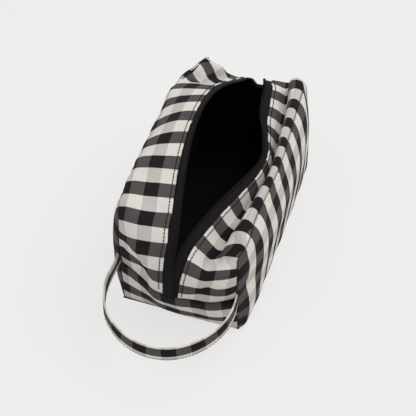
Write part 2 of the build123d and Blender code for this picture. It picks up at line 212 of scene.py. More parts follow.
RIGHT_LINES = (
    Line(NEAR_SEAM, ((-155.5, -7.9, 57), (-154, -19.5, 58), (-153, -26.4, 58), (-151.5, -35.4, 57),
                     (-149, -44, 57.5), (-146.5, -51, 59.5), (-141, -61.3, 60.7))),
    Line(-195.75, ((-155, -8.7, 66), (-153.5, -18.9, 66), (-152, -29.5, 69), (-151, -36, 68.7),
                   (-150, -44, 69), (-148, -54, 71.5), (-142, -62.5, 73.2))),
    Line(-181.25, ((-153, -9.3, 76.5), (-152, -19.9, 76), (-151.5, -29.5, 77), (-150, -36, 79.6),
                   (-150, -44, 79.7), (-148.5, -54, 83), (-142, -62.5, 84.3))),
    Line(-166.75, ((-151, -12, 91.1), (-150, -19.8, 88.6), (-150, -30.4, 86.6), (-148, -43.1, 89.7),
                   (-146, -54, 93.5), (-140, -61.9, 93.5))),
    Line(-152.25, ((-145, -14.8, 105), (-144, -23.7, 99.7), (-143, -33, 94), (-142, -41.1, 96.3),
                   (-141.5, -54, 102), (-137, -60.8, 101))),
    Line(-137.75, ((-135, -19.1, 114.2), (-133, -27, 104), (-127.5, -33, 92.5), (-124, -37, 91.5),
                   (-126, -44, 99.6), (-130, -53, 106.5), (-131, -59.5, 108.4))),
    Line(-123.25, ((-123, -23.4, 117.8), (-121, -31.7, 104.6), (-120, -36.2, 99.3), (-118, -39.1, 97.3),
                   (-117, -42.8, 103.5), (-117, -45.1, 106), (-118, -52.9, 112), (-120, -59.2, 115.1),
                   (-122, -63.8, 113.9))),
    Line(-108.75, ((-109, -27.1, 117.9), (-108, -30.9, 109.1), (-107, -36.7, 100), (-106, -40.6, 97),
                   (-105, -42.5, 101.7), (-105, -44.8, 109.2), (-106, -49.1, 114.8),
                   (-107, -56.3, 117.5), (-108.75, -64.4, 115.3)), 1.04),
    Line(-94.25, ((-94, -30.4, 117.9), (-94, -34.7, 110.3), (-94, -39, 105.1), (-93, -43.5, 101.5),
                  (-92, -47.2, 110), (-92, -50.5, 117.4), (-93, -56.6, 119.8), (-94.25, -63, 116.4)), 1.08),
    level(-58, -58, (-41, 117.5), (-44, 108), (-47, 100.5), (-49, 100), (-51.5, 105), (-53.5, 114),
          (-55.3, 121.5), (-58, 125), (-61.5, 124.8), (-64.6, 119.3), draw=1.05),
    level(-29, -29, (-48.5, 117.5), (-51.5, 109), (-54, 101.5), (-55.5, 101), (-56.5, 106), (-57, 116),
          (-57.8, 122.5), (-60, 126), (-63, 125.8), (-66, 120.3), draw=1.05),
    level(0, 0, (-50, 119), (-52.5, 110), (-54, 103), (-55, 100.5), (-56, 104), (-56.2, 116),
          (-56.8, 123), (-59, 126.5), (-62.5, 127), (-66, 121.7)),
    level(29, 29, (-42, 116.3), (-47, 108), (-50, 102.5), (-51.5, 102), (-52, 107), (-52.5, 118),
          (-53.3, 123.5), (-55.5, 127.3), (-59.5, 128.3), (-64.2, 124.2)),
    level(58, 58, (-32.6, 113.5), (-41, 109.5), (-46, 105), (-48, 104), (-49.5, 108), (-50.3, 118),
          (-51, 125.5), (-53, 129), (-57.5, 130), (-62.3, 125.8)),
    level(87, 87, (-27.4, 114.8), (-36, 112), (-42, 108.5), (-44.5, 108), (-46, 112), (-46.5, 121),
          (-47.2, 127.5), (-50, 131.3), (-55.5, 132.5), (-61, 129.8)),
    level(101.5, 101.5, (-24.5, 114.3), (-33, 112.5), (-38.5, 110), (-41, 109.5), (-42.3, 113),
          (-42.8, 122), (-43.7, 128), (-47, 132.5), (-53.5, 134), (-59.8, 131.5)),
    level(116, 115.5, (-22, 114.5), (-30, 113), (-35, 110.5), (-37.5, 109), (-39, 112), (-39.8, 119),
          (-40.5, 125.5), (-43, 130), (-48.5, 132.3), (-55.5, 130)),
    Line(123.25, ((122, -19, 113), (121.5, -28, 111.3), (121.3, -34.5, 109.5), (121, -38.5, 111.5),
                  (120.8, -41, 117), (120.5, -44.5, 123), (120, -50, 125.3), (119, -57, 123))),
    Line(CORNER_FAR, ((131, -17, 109), (131, -27, 109.5), (130.8, -36, 110.5), (130.3, -42, 114),
                      (129.3, -49, 117), (127, -57, 115.5))),
    Line(152.25, ((134, -13, 92), (134, -28, 92), (133.5, -42, 93), (132, -52, 95), (130, -59.5, 97))),
    Line(166.75, ((134, -13, 78), (134, -28, 78), (133.5, -42, 79), (132, -53, 80), (130, -60.5, 81))),
    Line(FAR_SEAM, ((134, -13, 57), (134, -28, 57), (133.5, -42, 57), (132, -53, 57), (130, -61, 57))),
)

# The middle of each row of teeth, as a place along the cloth and a place in the bag
LEFT_TEETH = (
    (NEAR_SEAM, (-156, -1.7, 58)), (-195.75, (-156, -2.3, 72)), (-181.25, (-155, -2.7, 88)),
    (-166.75, (-150.5, -3.2, 104.5)), (-152.25, (-142, -3.2, 120.5)), (CORNER_NEAR, (-134.5, -2.6, 130.5)),
    (-123.25, (-123.5, -0.5, 139.5)), (-101.5, (-101.5, 4.6, 148)), (-72.5, (-72.5, 10.4, 158.2)),
    (-43.5, (-43.5, 15, 164)), (-14.5, (-14.5, 16.8, 168)), (14.5, (14.5, 16.7, 165.3)),
    (43.5, (43, 15.5, 155.6)), (58, (57.5, 14, 149)), (72.5, (72, 13, 141)), (87, (86.5, 11.5, 132.5)),
    (101.5, (101, 10, 124)), (123.25, (121, 8.5, 112.5)), (CORNER_FAR, (131, 5, 104)),
    (152.25, (134, 0, 93)), (166.75, (134, -2.2, 78)), (FAR_SEAM, (134, -2.9, 57)),
)

RIGHT_TEETH = (
    (NEAR_SEAM, (-156, -2.6, 57.5)), (-195.75, (-156, -2.9, 68)), (-181.25, (-155.5, -3.2, 80)),
    (-166.75, (-152.5, -3.8, 94)), (-152.25, (-145.5, -6.2, 107.5)), (CORNER_NEAR, (-134, -10.6, 118.1)),
    (-123.25, (-120.9, -14.2, 121.5)), (-87, (-85, -24, 122.5)), (-58, (-56, -33, 122)),
    (-29, (-27.6, -39.7, 117.5)), (0, (-0.5, -43, 116)), (29, (28, -35.5, 121)), (58, (57, -24.6, 118)),
    (87, (86, -18, 115.5)), (116, (114.5, -13.3, 116)), (123.25, (121.5, -10.5, 114.5)),
    (CORNER_FAR, (131.5, -8.5, 106)), (152.25, (134, -6.5, 93)), (166.75, (134, -3.8, 78)),
    (FAR_SEAM, (134, -3.1, 57)),
)

# The lines of the two long walls, from under the shoulder seam to the base
LEFT_WALL = (
    level(-123.25, -121, (66.5, 112), (68.8, 97), (70.3, 80), (71, 60), (71.5, 45), (71.5, 33),
          (69.5, 16), (66, 4), (62.5, 0)),
    level(-101.5, -101.5, (68, 108), (70.5, 85), (71.5, 55), (71, 28), (68.5, 8), (62.5, 0)),
    level(-72.5, -72.5, (67.5, 115), (69.5, 90), (71, 60), (70.5, 30), (68, 8), (62.5, 0)),
    level(-29, -29, (71, 112), (72, 90), (71, 60), (70, 30), (67.5, 8), (62.5, 0)),
    level(14.5, 14.5, (72, 115), (72, 90), (70.5, 60), (69.5, 30), (67, 8), (62.5, 0)),
    level(58, 58, (68, 120), (71, 95), (70, 60), (69, 30), (66.5, 8), (62.5, 0)),
    level(72.5, 72.5, (66.5, 120), (69.5, 95), (69, 60), (68.5, 30), (66.2, 8), (62.5, 0)),
    level(87, 87, (63.5, 118), (67.5, 95), (68, 60), (68, 30), (65.9, 8), (62.5, 0)),
    level(101.5, 101.5, (61, 118), (65, 95), (67, 60), (67, 30), (65.5, 8), (62.5, 0)),
    level(123.25, 122, (60.5, 112), (62.5, 92), (64.5, 60), (65, 30), (64, 8), (62.5, 0)),
)

RIGHT_WALL = (
    Line(-123.25, ((-122.5, -65.2, 105), (-122, -67.3, 93), (-122, -67.3, 76), (-123, -65.9, 66),
                   (-123, -68.9, 49), (-123.5, -70.3, 30), (-124, -69, 17), (-124.5, -66, 4),
                   (-124, -62.5, 0))),
    level(-108.75, -108.75, (-67.3, 109), (-70.3, 95), (-71, 80), (-70.3, 60), (-71.5, 40),
          (-71.5, 22), (-69.8, 9), (-66, 2), (-62.5, 0)),
    level(-87, -87, (-66.6, 112), (-71.8, 99.5), (-73.8, 85), (-74.2, 64), (-73.3, 45), (-72, 22),
          (-69.3, 6), (-62.5, 0)),
    level(-58, -58, (-67, 110), (-72.2, 94), (-75.6, 79), (-75.2, 60), (-73.5, 42), (-72, 22),
          (-69.5, 6), (-62.5, 0)),
    level(-29, -29, (-68.2, 111.5), (-73.1, 96), (-76.2, 79), (-75.6, 62), (-73.8, 44), (-72.3, 22),
          (-69.8, 6), (-62.5, 0)),
    level(0, 0, (-68.8, 111.5), (-73.8, 96), (-76.4, 79), (-75.8, 60), (-74, 42), (-72.5, 22),
          (-70, 6), (-62.5, 0)),
    level(43.5, 43.5, (-69.3, 111), (-72.8, 98), (-75, 84), (-75.8, 68), (-75, 48), (-73.8, 32),
          (-72.5, 18), (-70, 6), (-62.5, 0)),
    level(72.5, 72.5, (-66, 120), (-70, 106), (-72.6, 90), (-73.6, 72), (-73.6, 50), (-73, 32),
          (-72.4, 18), (-70, 6), (-62.5, 0)),
    level(101.5, 101.5, (-63.2, 118), (-66.4, 104), (-68.6, 88), (-70, 70), (-70.8, 50),
          (-71.5, 30), (-70.8, 15), (-69.3, 6), (-62.5, 0)),
    level(116, 115.5, (-59.5, 112), (-62.4, 97), (-64.6, 80), (-66.8, 60), (-68.4, 42), (-69.2, 24),
          (-68.3, 6), (-62.5, 0)),
)

# The upright seams, from the end seams of the strips down to the base
NEAR_CORNER = {
    Side.LEFT: ((-130, 60.3, 57), (-130, 62, 45), (-130, 61.6, 30), (-130, 61.8, 15), (-129.5, 62, 0)),
    Side.RIGHT: ((-141, -61.3, 60.7), (-139.5, -62, 45), (-135.5, -62.4, 22), (-131, -62, 0)),
}
FAR_CORNER = {
    Side.LEFT: ((130, 61, 57), (130.5, 62, 28), (130, 62.3, 0)),
    Side.RIGHT: ((130, -61, 57), (131, -63.5, 28), (130, -62.3, 0)),
}


def through(knots: np.ndarray, values: np.ndarray, wanted: np.ndarray) -> np.ndarray:
    """Gives a smooth line through measured values.

    Between two knots it is the cubic that has, at each knot, the slope of the parabola through that
    knot and its two neighbours.

    Args:
        knots: where the values were measured, rising.
        values: the values there, with the knots along the first axis.
        wanted: where the line is wanted.

    Returns:
        The line's values, with the wanted places along the first axis.
    """
    slopes = np.gradient(values, knots, axis=0)
    cell = np.clip(np.searchsorted(knots, wanted, side="right") - 1, 0, len(knots) - 2)
    step = knots[cell + 1] - knots[cell]
    shape = (-1,) + (1,) * (values.ndim - 1)
    t = np.clip((wanted - knots[cell]) / step, 0, 1).reshape(shape)
    step = step.reshape(shape)
    return (
        values[cell] * (1 + 2 * t) * (1 - t) ** 2
        + slopes[cell] * step * t * (1 - t) ** 2
        + values[cell + 1] * t**2 * (3 - 2 * t)
        + slopes[cell + 1] * step * t**2 * (t - 1)
    )


def run_length(path: np.ndarray) -> np.ndarray:
    """Gives the length along a path at each of its places, which is the sum of the steps before it.

    Args:
        path: the places.

    Returns:
        The length at each place.
    """
    steps = np.linalg.norm(np.diff(path, axis=0), axis=1)
    return np.concatenate([[0.0], np.cumsum(steps)])


def even_line(places: np.ndarray, count: int) -> np.ndarray:
    """Spaces places evenly by length on the smooth line through the given ones.

    Args:
        places: the places that the line passes.
        count: how many places to give back.

    Returns:
        The evenly spaced places.
    """
    knots = run_length(places)
    fine = np.linspace(0, knots[-1], LINE_STEPS)
    run = run_length(through(knots, places, fine))
    return through(knots, places, np.interp(np.linspace(0, run[-1], count), run, fine))


def at_length(wanted: np.ndarray, run: np.ndarray, path: np.ndarray) -> np.ndarray:
    """Gives the places on a path, straight between its own, at the lengths wanted.

    Args:
        wanted: the lengths, in an array of any shape.
        run: the length at each place of the path, rising.
        path: the places, or other values with three parts.

    Returns:
        The places, with their three parts along a new last axis.
    """
    return np.stack([np.interp(wanted, run, path[:, axis]) for axis in range(3)], axis=-1)


def unit(vectors: np.ndarray) -> np.ndarray:
    """Scales vectors to length one.

    Args:
        vectors: the vectors, along the last axis.

    Returns:
        The scaled vectors.
    """
    return vectors / np.maximum(np.linalg.norm(vectors, axis=-1, keepdims=True), TINY)


def softened(values: np.ndarray, axis: int, times: int) -> np.ndarray:
    """Averages each value with its neighbours, a quarter each side and half itself, some times over.

    Args:
        values: the values.
        axis: the axis along which they are neighbours.
        times: how often.

    Returns:
        The softened values, with the two ends kept.
    """
    values = np.moveaxis(values.copy(), axis, 0)
    for _ in range(times):
        values[1:-1] = 0.25 * values[:-2] + 0.5 * values[1:-1] + 0.25 * values[2:]
    return np.moveaxis(values, 0, axis)


@dataclass(frozen=True)
class Waves:
    """Soft uneven waves in a cloth: their height, their usual length and how much they change across.

    They are sines, whose lengths lie round the usual one within the spread, and whose ways are each
    turned from the run's by up to the turn. Total is what their sum is divided by.
    """

    height: float
    length: float
    across: float = 1.0
    sines: int = 4
    spread: tuple[float, float] = (0.7, 1.5)
    turn: float = 0.5
    total: float = 2.2

    def over(self, run: np.ndarray, reach: np.ndarray, seed: int) -> np.ndarray:
        """Works out the waves, each the sine of its share of the way along its own length.

        Args:
            run: the length along the cloth.
            reach: the length across it.
            seed: picks the lengths, turns and starts.

        Returns:
            The height at each place.
        """
        pick = np.random.default_rng(seed)
        lengths = self.length * pick.uniform(*self.spread, self.sines)
        turns = pick.uniform(-self.turn, self.turn, self.sines)
        starts = pick.uniform(0, 2 * math.pi, self.sines)
        ahead = run[..., None] * np.cos(turns) + (reach * self.across)[..., None] * np.sin(turns)
        return self.height * np.sin(2 * math.pi * ahead / lengths + starts).sum(axis=-1) / self.total


@dataclass
class Patch:
    """A piece of cloth as a grid of places, in millimetres.

    The first axis runs along the bag or along a wall, the second across it. Pattern holds the place in the
    check, in pairs of rows and of columns, or the place in millimetres where the cloth is plain, and crease
    is 1 in the depth of a seam, where the checked cloth's shader paints shade.
    """

    places: np.ndarray
    pattern: np.ndarray
    outward: int
    crease: np.ndarray = field(default_factory=lambda: np.zeros((0, 0)))

    def normals(self) -> np.ndarray:
        """Gives the outward normals, each the slope along crossed with the slope across.

        Returns:
            A vector of length one for every place.
        """
        along = np.gradient(self.places, axis=0)
        across = np.gradient(self.places, axis=1)
        return self.outward * unit(np.cross(along, across))

    def run(self) -> np.ndarray:
        """Measures along the middle column, from the first row to every place."""
        middle = self.places[:, self.places.shape[1] // 2]
        return np.broadcast_to(run_length(middle)[:, None], self.places.shape[:2])

    def reach(self) -> np.ndarray:
        """Measures along each row, from the first column to every place."""
        steps = np.linalg.norm(np.diff(self.places, axis=1), axis=2)
        return np.concatenate([np.zeros((len(steps), 1)), np.cumsum(steps, axis=1)], axis=1)

    def border(self) -> np.ndarray:
        """Measures to the nearest of the four edges.

        Returns:
            The length, for every place.
        """
        run, reach = self.run(), self.reach()
        ends = np.minimum(run, run[-1:] - run)
        return np.minimum(ends, np.minimum(reach, reach[:, -1:] - reach))

    def pushed(self, height: np.ndarray | float) -> Patch:
        """Moves each place outwards along its normal."""
        move = self.normals() * np.asarray(height)[..., None]
        return Patch(self.places + move, self.pattern, self.outward, self.crease)

    def sewn(self, edges: tuple[np.ndarray, ...], way: np.ndarray | None = None) -> Patch:
        """Rolls the cloth in at its seams.

        The cloth sinks by a depth times e to the power minus the squared share of the distance to the seam
        in the roll's width, and the crease, which paints shade into the seam, follows the same curve.

        Args:
            edges: the distance to each sewn edge, for every place.
            way: the way in, where it isn't straight down into the cloth.

        Returns:
            The cloth with its seams.
        """
        near = np.exp(-((np.minimum.reduce(edges) / SEAM_ROLL) ** 2))
        way = -self.normals() if way is None else way
        crease = np.maximum(near, self.crease) if self.crease.size else near
        return Patch(self.places + SEAM_DEPTH * near[..., None] * way, self.pattern, self.outward, crease)

    def lining(self, depth: float, softness: int) -> Patch:
        """Gives the sheet that hangs inside this one: its places moved inwards, then softened.

        Args:
            depth: how far inside it hangs.
            softness: how often its places are softened, each way.

        Returns:
            The lining, with its place on the cloth in millimetres as its pattern.
        """
        inner = self.pushed(-depth).places
        inner = softened(softened(inner, 1, softness), 0, softness)
        return Patch(inner, self.pattern * ROW_PAIR, self.outward)


def grid_faces(rows: int, columns: int, outward: int) -> np.ndarray:
    """Gives the four corners of every face of a grid, turned so that they face outwards.

    Args:
        rows: how many rows of places the grid has.
        columns: how many places a row has.
        outward: 1 where along crossed with across points outwards, otherwise -1.

    Returns:
        The places' numbers, four to a face.
    """
    place = np.arange(rows * columns).reshape(rows, columns)
    ring = (place[:-1, :-1], place[1:, :-1], place[1:, 1:], place[:-1, 1:])
    faces = np.stack(ring, axis=-1).reshape(-1, 4)
    return faces if outward > 0 else faces[:, ::-1]


def make_piece(name: str, places: np.ndarray, faces: list, pattern: np.ndarray | None = None,
               crease: np.ndarray | None = None) -> bpy.types.Object:
    """Puts a mesh into the scene.

    Args:
        name: the piece's name.
        places: its places, in millimetres.
        faces: its faces, as lists of the places' numbers.
        pattern: the cloth's coordinates at each place, if it has any.
        crease: how deep in a seam each place is, if it is cloth, which the shader darkens as painted shade.

    Returns:
        The piece, at the origin, with smooth shading.
    """
    mesh = bpy.data.meshes.new(name)
    mesh.from_pydata((places.reshape(-1, 3) * MM).tolist(), [], faces)
    corners = np.empty(len(mesh.loops), dtype=np.int32)
    mesh.loops.foreach_get("vertex_index", corners)
    if pattern is not None:
        chart = mesh.uv_layers.new(name="cloth")
        chart.data.foreach_set("uv", pattern.reshape(-1, 2)[corners].astype(np.float32).ravel())
    if crease is not None and crease.size:
        layer = mesh.attributes.new("crease", "FLOAT", "POINT")
        layer.data.foreach_set("value", crease.astype(np.float32).ravel())
    mesh.polygons.foreach_set("use_smooth", np.ones(len(mesh.polygons), dtype=bool))
    mesh.update()
    piece = bpy.data.objects.new(name, mesh)
    bpy.context.scene.collection.objects.link(piece)
    return piece


@dataclass(frozen=True)
class Fabric:
    """A cloth that sheets are cut from: how thick it is, its material and the slot that it goes by, which is
    not used.
    """

    thick: float
    material: bpy.types.Material
    slot: str


def lay_sheet(name: str, patch: Patch, fabric: Fabric, stands_for: str,
              foot: float = 0.25) -> bpy.types.Object:
    """Makes a sheet of the bag from a patch, with its thickness on the inside.

    Args:
        name: the piece's name.
        patch: the grid of the sheet's outer face.
        fabric: the cloth that it is cut from.
        stands_for: the node that it takes the place of.
        foot: the least height of its outer face above the ground.

    Returns:
        The piece.
    """
    rows, columns = patch.places.shape[:2]
    faces = grid_faces(rows, columns, patch.outward).tolist()
    crease = patch.crease if patch.crease.size else np.zeros((rows, columns))
    places = np.maximum(patch.places, np.array([-np.inf, -np.inf, foot]))
    piece = make_piece(name, places, faces, patch.pattern, crease)
    piece.data.materials.append(fabric.material)
    wall = piece.modifiers.new("cloth_thickness", "SOLIDIFY")
    wall.thickness = fabric.thick * MM
    wall.offset = -1.0
    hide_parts(stands_for)
    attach(piece, "bag")
    return piece


def tube_faces(number: np.ndarray) -> list:
    """Gives the faces of closed tubes, with a cap on each end.

    Args:
        number: the numbers of the places, by tube, by step along it and round the ring.

    Returns:
        The faces.
    """
    after = np.roll(number, -1, axis=2)
    walls = np.stack([number[:, :-1], number[:, 1:], after[:, 1:], after[:, :-1]], axis=-1).reshape(-1, 4)
    caps = np.concatenate([number[:, 0], number[:, -1, ::-1]])
    return walls.tolist() + caps.tolist()


@dataclass(frozen=True)
class Stitching:
    """A row of stitches: how long a stitch, the gap after it and the thread's thickness are.

    Steps and sides are the places along a stitch and round it. Bow is how far its middle stands off
    the cloth, as a share of its thickness, and least is the square of its ends' share of the radius.
    """

    stitch: float
    gap: float
    thick: float
    steps: int = 6
    sides: int = 6
    bow: float = 0.25
    least: float = 0.03

    def along(self, path: np.ndarray, lift: np.ndarray) -> tuple[np.ndarray, list]:
        """Lays the stitches on a path.

        Each stitch is a short tube along the path. Its radius is the square root of one less the
        fourth power of the place along it, measured from its middle, so both its ends draw in to a
        small cap.

        Args:
            path: the line that the stitches follow.
            lift: the outward normal at each of its places.

        Returns:
            The places and the faces of all the stitches.
        """
        run = run_length(path)
        count = int(run[-1] // (self.stitch + self.gap))
        start = (np.arange(count) + 0.5) * run[-1] / count - self.stitch / 2
        share = np.linspace(-1, 1, self.steps)
        at = start[:, None] + (share + 1) / 2 * self.stitch
        centre = at_length(at, run, path)
        up = unit(at_length(at, run, lift))
        side = unit(np.cross(np.gradient(centre, axis=1), up))
        centre = centre + up * (self.bow * self.thick * (1 - share**2))[None, :, None]
        radius = 0.5 * self.thick * np.sqrt(np.maximum(1 - share**4, self.least))
        turn = np.arange(self.sides) * 2 * math.pi / self.sides
        ring = side[:, :, None] * np.cos(turn)[:, None] + up[:, :, None] * np.sin(turn)[:, None]
        places = centre[:, :, None] + ring * radius[None, :, None, None]
        number = np.arange(count * self.steps * self.sides).reshape(count, self.steps, self.sides)
        return places.reshape(-1, 3), tube_faces(number)


def srgb(red: int, green: int, blue: int) -> Colour:
    """Turns a colour as seen on a screen into the linear one that a shader takes.

    Args:
        red: from 0 to 255.
        green: from 0 to 255.
        blue: from 0 to 255.

    Returns:
        The linear colour, with a full alpha.
    """
    shares = (channel / 255 for channel in (red, green, blue))
    linear = [s / 12.92 if s <= 0.04045 else ((s + 0.055) / 1.055) ** 2.4 for s in shares]
    return (linear[0], linear[1], linear[2], 1.0)


class Wiring:
    """Adds nodes to one shader tree and links them.

    A value that goes into a node is a number, a tuple or another node's output.
    """

    def __init__(self, tree: bpy.types.NodeTree) -> None:
        """Takes the tree that the nodes go into."""
        self.tree = tree

    def node(self, kind: str, inputs: dict | None = None, **settings: object) -> bpy.types.Node:
        """Adds a node.

        Args:
            kind: the node's type.
            inputs: a value for each of its inputs, by name or number.
            settings: the node's own settings.

        Returns:
            The node.
        """
        made = self.tree.nodes.new(kind)
        for name, value in settings.items():
            setattr(made, name, value)
        for name, value in (inputs or {}).items():
            self.set(made, name, value)
        return made

    def set(self, node: bpy.types.Node, name: str | int, value: object) -> None:
        """Gives a node's input its value.

        Args:
            node: the node.
            name: the input's name or number.
            value: the value.
        """
        if isinstance(value, bpy.types.NodeSocket):
            self.tree.links.new(value, node.inputs[name])
        else:
            node.inputs[name].default_value = value

    def group(self, tree: bpy.types.NodeTree, inputs: dict) -> bpy.types.Node:
        """Adds a node group, with a value for each of its inputs by name."""
        return self.node("ShaderNodeGroup", inputs, node_tree=tree)

    def reckon(self, operation: str, first: object, second: object = 0.0) -> bpy.types.NodeSocket:
        """Reckons with one value or two, by the operation's name."""
        return self.node("ShaderNodeMath", {0: first, 1: second}, operation=operation).outputs[0]

    def line(self, value: object, slope: float, start: object, clamp: bool = False) -> bpy.types.NodeSocket:
        """Reckons a straight line, the value times the slope plus the start."""
        takes = {0: value, 1: slope, 2: start}
        return self.node("ShaderNodeMath", takes, operation="MULTIPLY_ADD", use_clamp=clamp).outputs[0]

    def mix(self, share: object, first: object, second: object, kind: str = "MIX") -> bpy.types.NodeSocket:
        """Mixes two colours, by the share of the second."""
        takes = {0: share, 6: first, 7: second}
        return self.node("ShaderNodeMix", takes, data_type="RGBA", blend_type=kind).outputs[2]

    def scaled(self, vector: object, x: float, y: float, z: float = 1.0) -> bpy.types.NodeSocket:
        """Scales a vector by a factor for each of its parts."""
        return self.node("ShaderNodeVectorMath", {0: vector, 1: (x, y, z)}, operation="MULTIPLY").outputs[0]


@dataclass(frozen=True)
class GroupSocket:
    """One named input or output of a node group, with its starting value."""

    name: str
    kind: str = "NodeSocketFloat"
    start: float | None = None


def start_group(name: str, takes: tuple[GroupSocket, ...], gives: tuple[GroupSocket, ...]) -> tuple:
    """Starts a shader node group with its sockets.

    Args:
        name: the group's name.
        takes: its inputs.
        gives: its outputs.

    Returns:
        The wiring of the group, the node that gives its inputs and the node that takes its outputs.
    """
    tree = bpy.data.node_groups.new(name, "ShaderNodeTree")
    for way, sockets in (("INPUT", takes), ("OUTPUT", gives)):
        for socket in sockets:
            made = tree.interface.new_socket(name=socket.name, in_out=way, socket_type=socket.kind)
            if socket.start is not None:
                made.default_value = socket.start
    wiring = Wiring(tree)
    return wiring, wiring.node("NodeGroupInput"), wiring.node("NodeGroupOutput")


class ClothEffects:
    """The effects that several finishes share, each built once as a node group."""

    yarn_stretch = (0.08, 1.1)
    yarn_detail = 2.0
    fade_detail = 3.0

    def __init__(self) -> None:
        """Builds the groups."""
        self.weave = self._weave()
        self.slub = self._slub()
        self.fade = self._fade()

    def _weave(self) -> bpy.types.NodeTree:
        """Builds a plain weave.

        Height is the root of the product of two sines, one over each thread, so it is highest where
        one thread crosses the middle of the other.

        Returns:
            The group.
        """
        wiring, takes, gives = start_group(
            "plain_weave",
            (GroupSocket("Place", "NodeSocketVector"), GroupSocket("Thread", start=0.5)),
            (GroupSocket("Height"),),
        )
        apart = wiring.node("ShaderNodeSeparateXYZ", {0: takes.outputs["Place"]})
        turns = []
        for axis in (0, 1):
            count = wiring.reckon("DIVIDE", apart.outputs[axis], takes.outputs["Thread"])
            turns.append(wiring.reckon("SINE", wiring.reckon("MULTIPLY", count, math.pi)))
        product = wiring.reckon("MULTIPLY", *turns)
        wiring.set(gives, "Height", wiring.reckon("SQRT", wiring.reckon("ABSOLUTE", product)))
        return wiring.tree

    def _slub(self) -> bpy.types.NodeTree:
        """Builds the uneven thickness of spun yarn: noise drawn out along one way and along the other.

        Returns:
            The group.
        """
        wiring, takes, gives = start_group(
            "yarn_slub",
            (GroupSocket("Place", "NodeSocketVector"), GroupSocket("Fineness", start=1.0)),
            (GroupSocket("Along"), GroupSocket("Across")),
        )
        for name, stretch in (("Along", self.yarn_stretch), ("Across", self.yarn_stretch[::-1])):
            drawn = wiring.scaled(takes.outputs["Place"], *stretch)
            settings = {"Vector": drawn, "Scale": takes.outputs["Fineness"], "Detail": self.yarn_detail}
            wiring.set(gives, name, wiring.node("ShaderNodeTexNoise", settings).outputs[0])
        return wiring.tree

    def _fade(self) -> bpy.types.NodeTree:
        """Builds slow unevenness of the dye and of handling, as a value round one half.

        Returns:
            The group.
        """
        wiring, takes, gives = start_group(
            "dye_fade",
            (GroupSocket("Place", "NodeSocketVector"), GroupSocket("Patch Size", start=20.0)),
            (GroupSocket("Amount"),),
        )
        scale = wiring.reckon("DIVIDE", 1.0, takes.outputs["Patch Size"])
        settings = {"Vector": takes.outputs["Place"], "Scale": scale, "Detail": self.fade_detail}
        wiring.set(gives, "Amount", wiring.node("ShaderNodeTexNoise", settings).outputs[0])
        return wiring.tree


def start_material(name: str) -> tuple[bpy.types.Material, Wiring, bpy.types.Node]:
    """Starts a material with a principled shader.

    Args:
        name: the material's name.

    Returns:
        The material, its wiring and its shader.
    """
    material = bpy.data.materials.new(name)
    material.use_nodes = True
    material.node_tree.nodes.clear()
    wiring = Wiring(material.node_tree)
    shader = wiring.node("ShaderNodeBsdfPrincipled")
    wiring.node("ShaderNodeOutputMaterial", {0: shader.outputs[0]})
    return material, wiring, shader


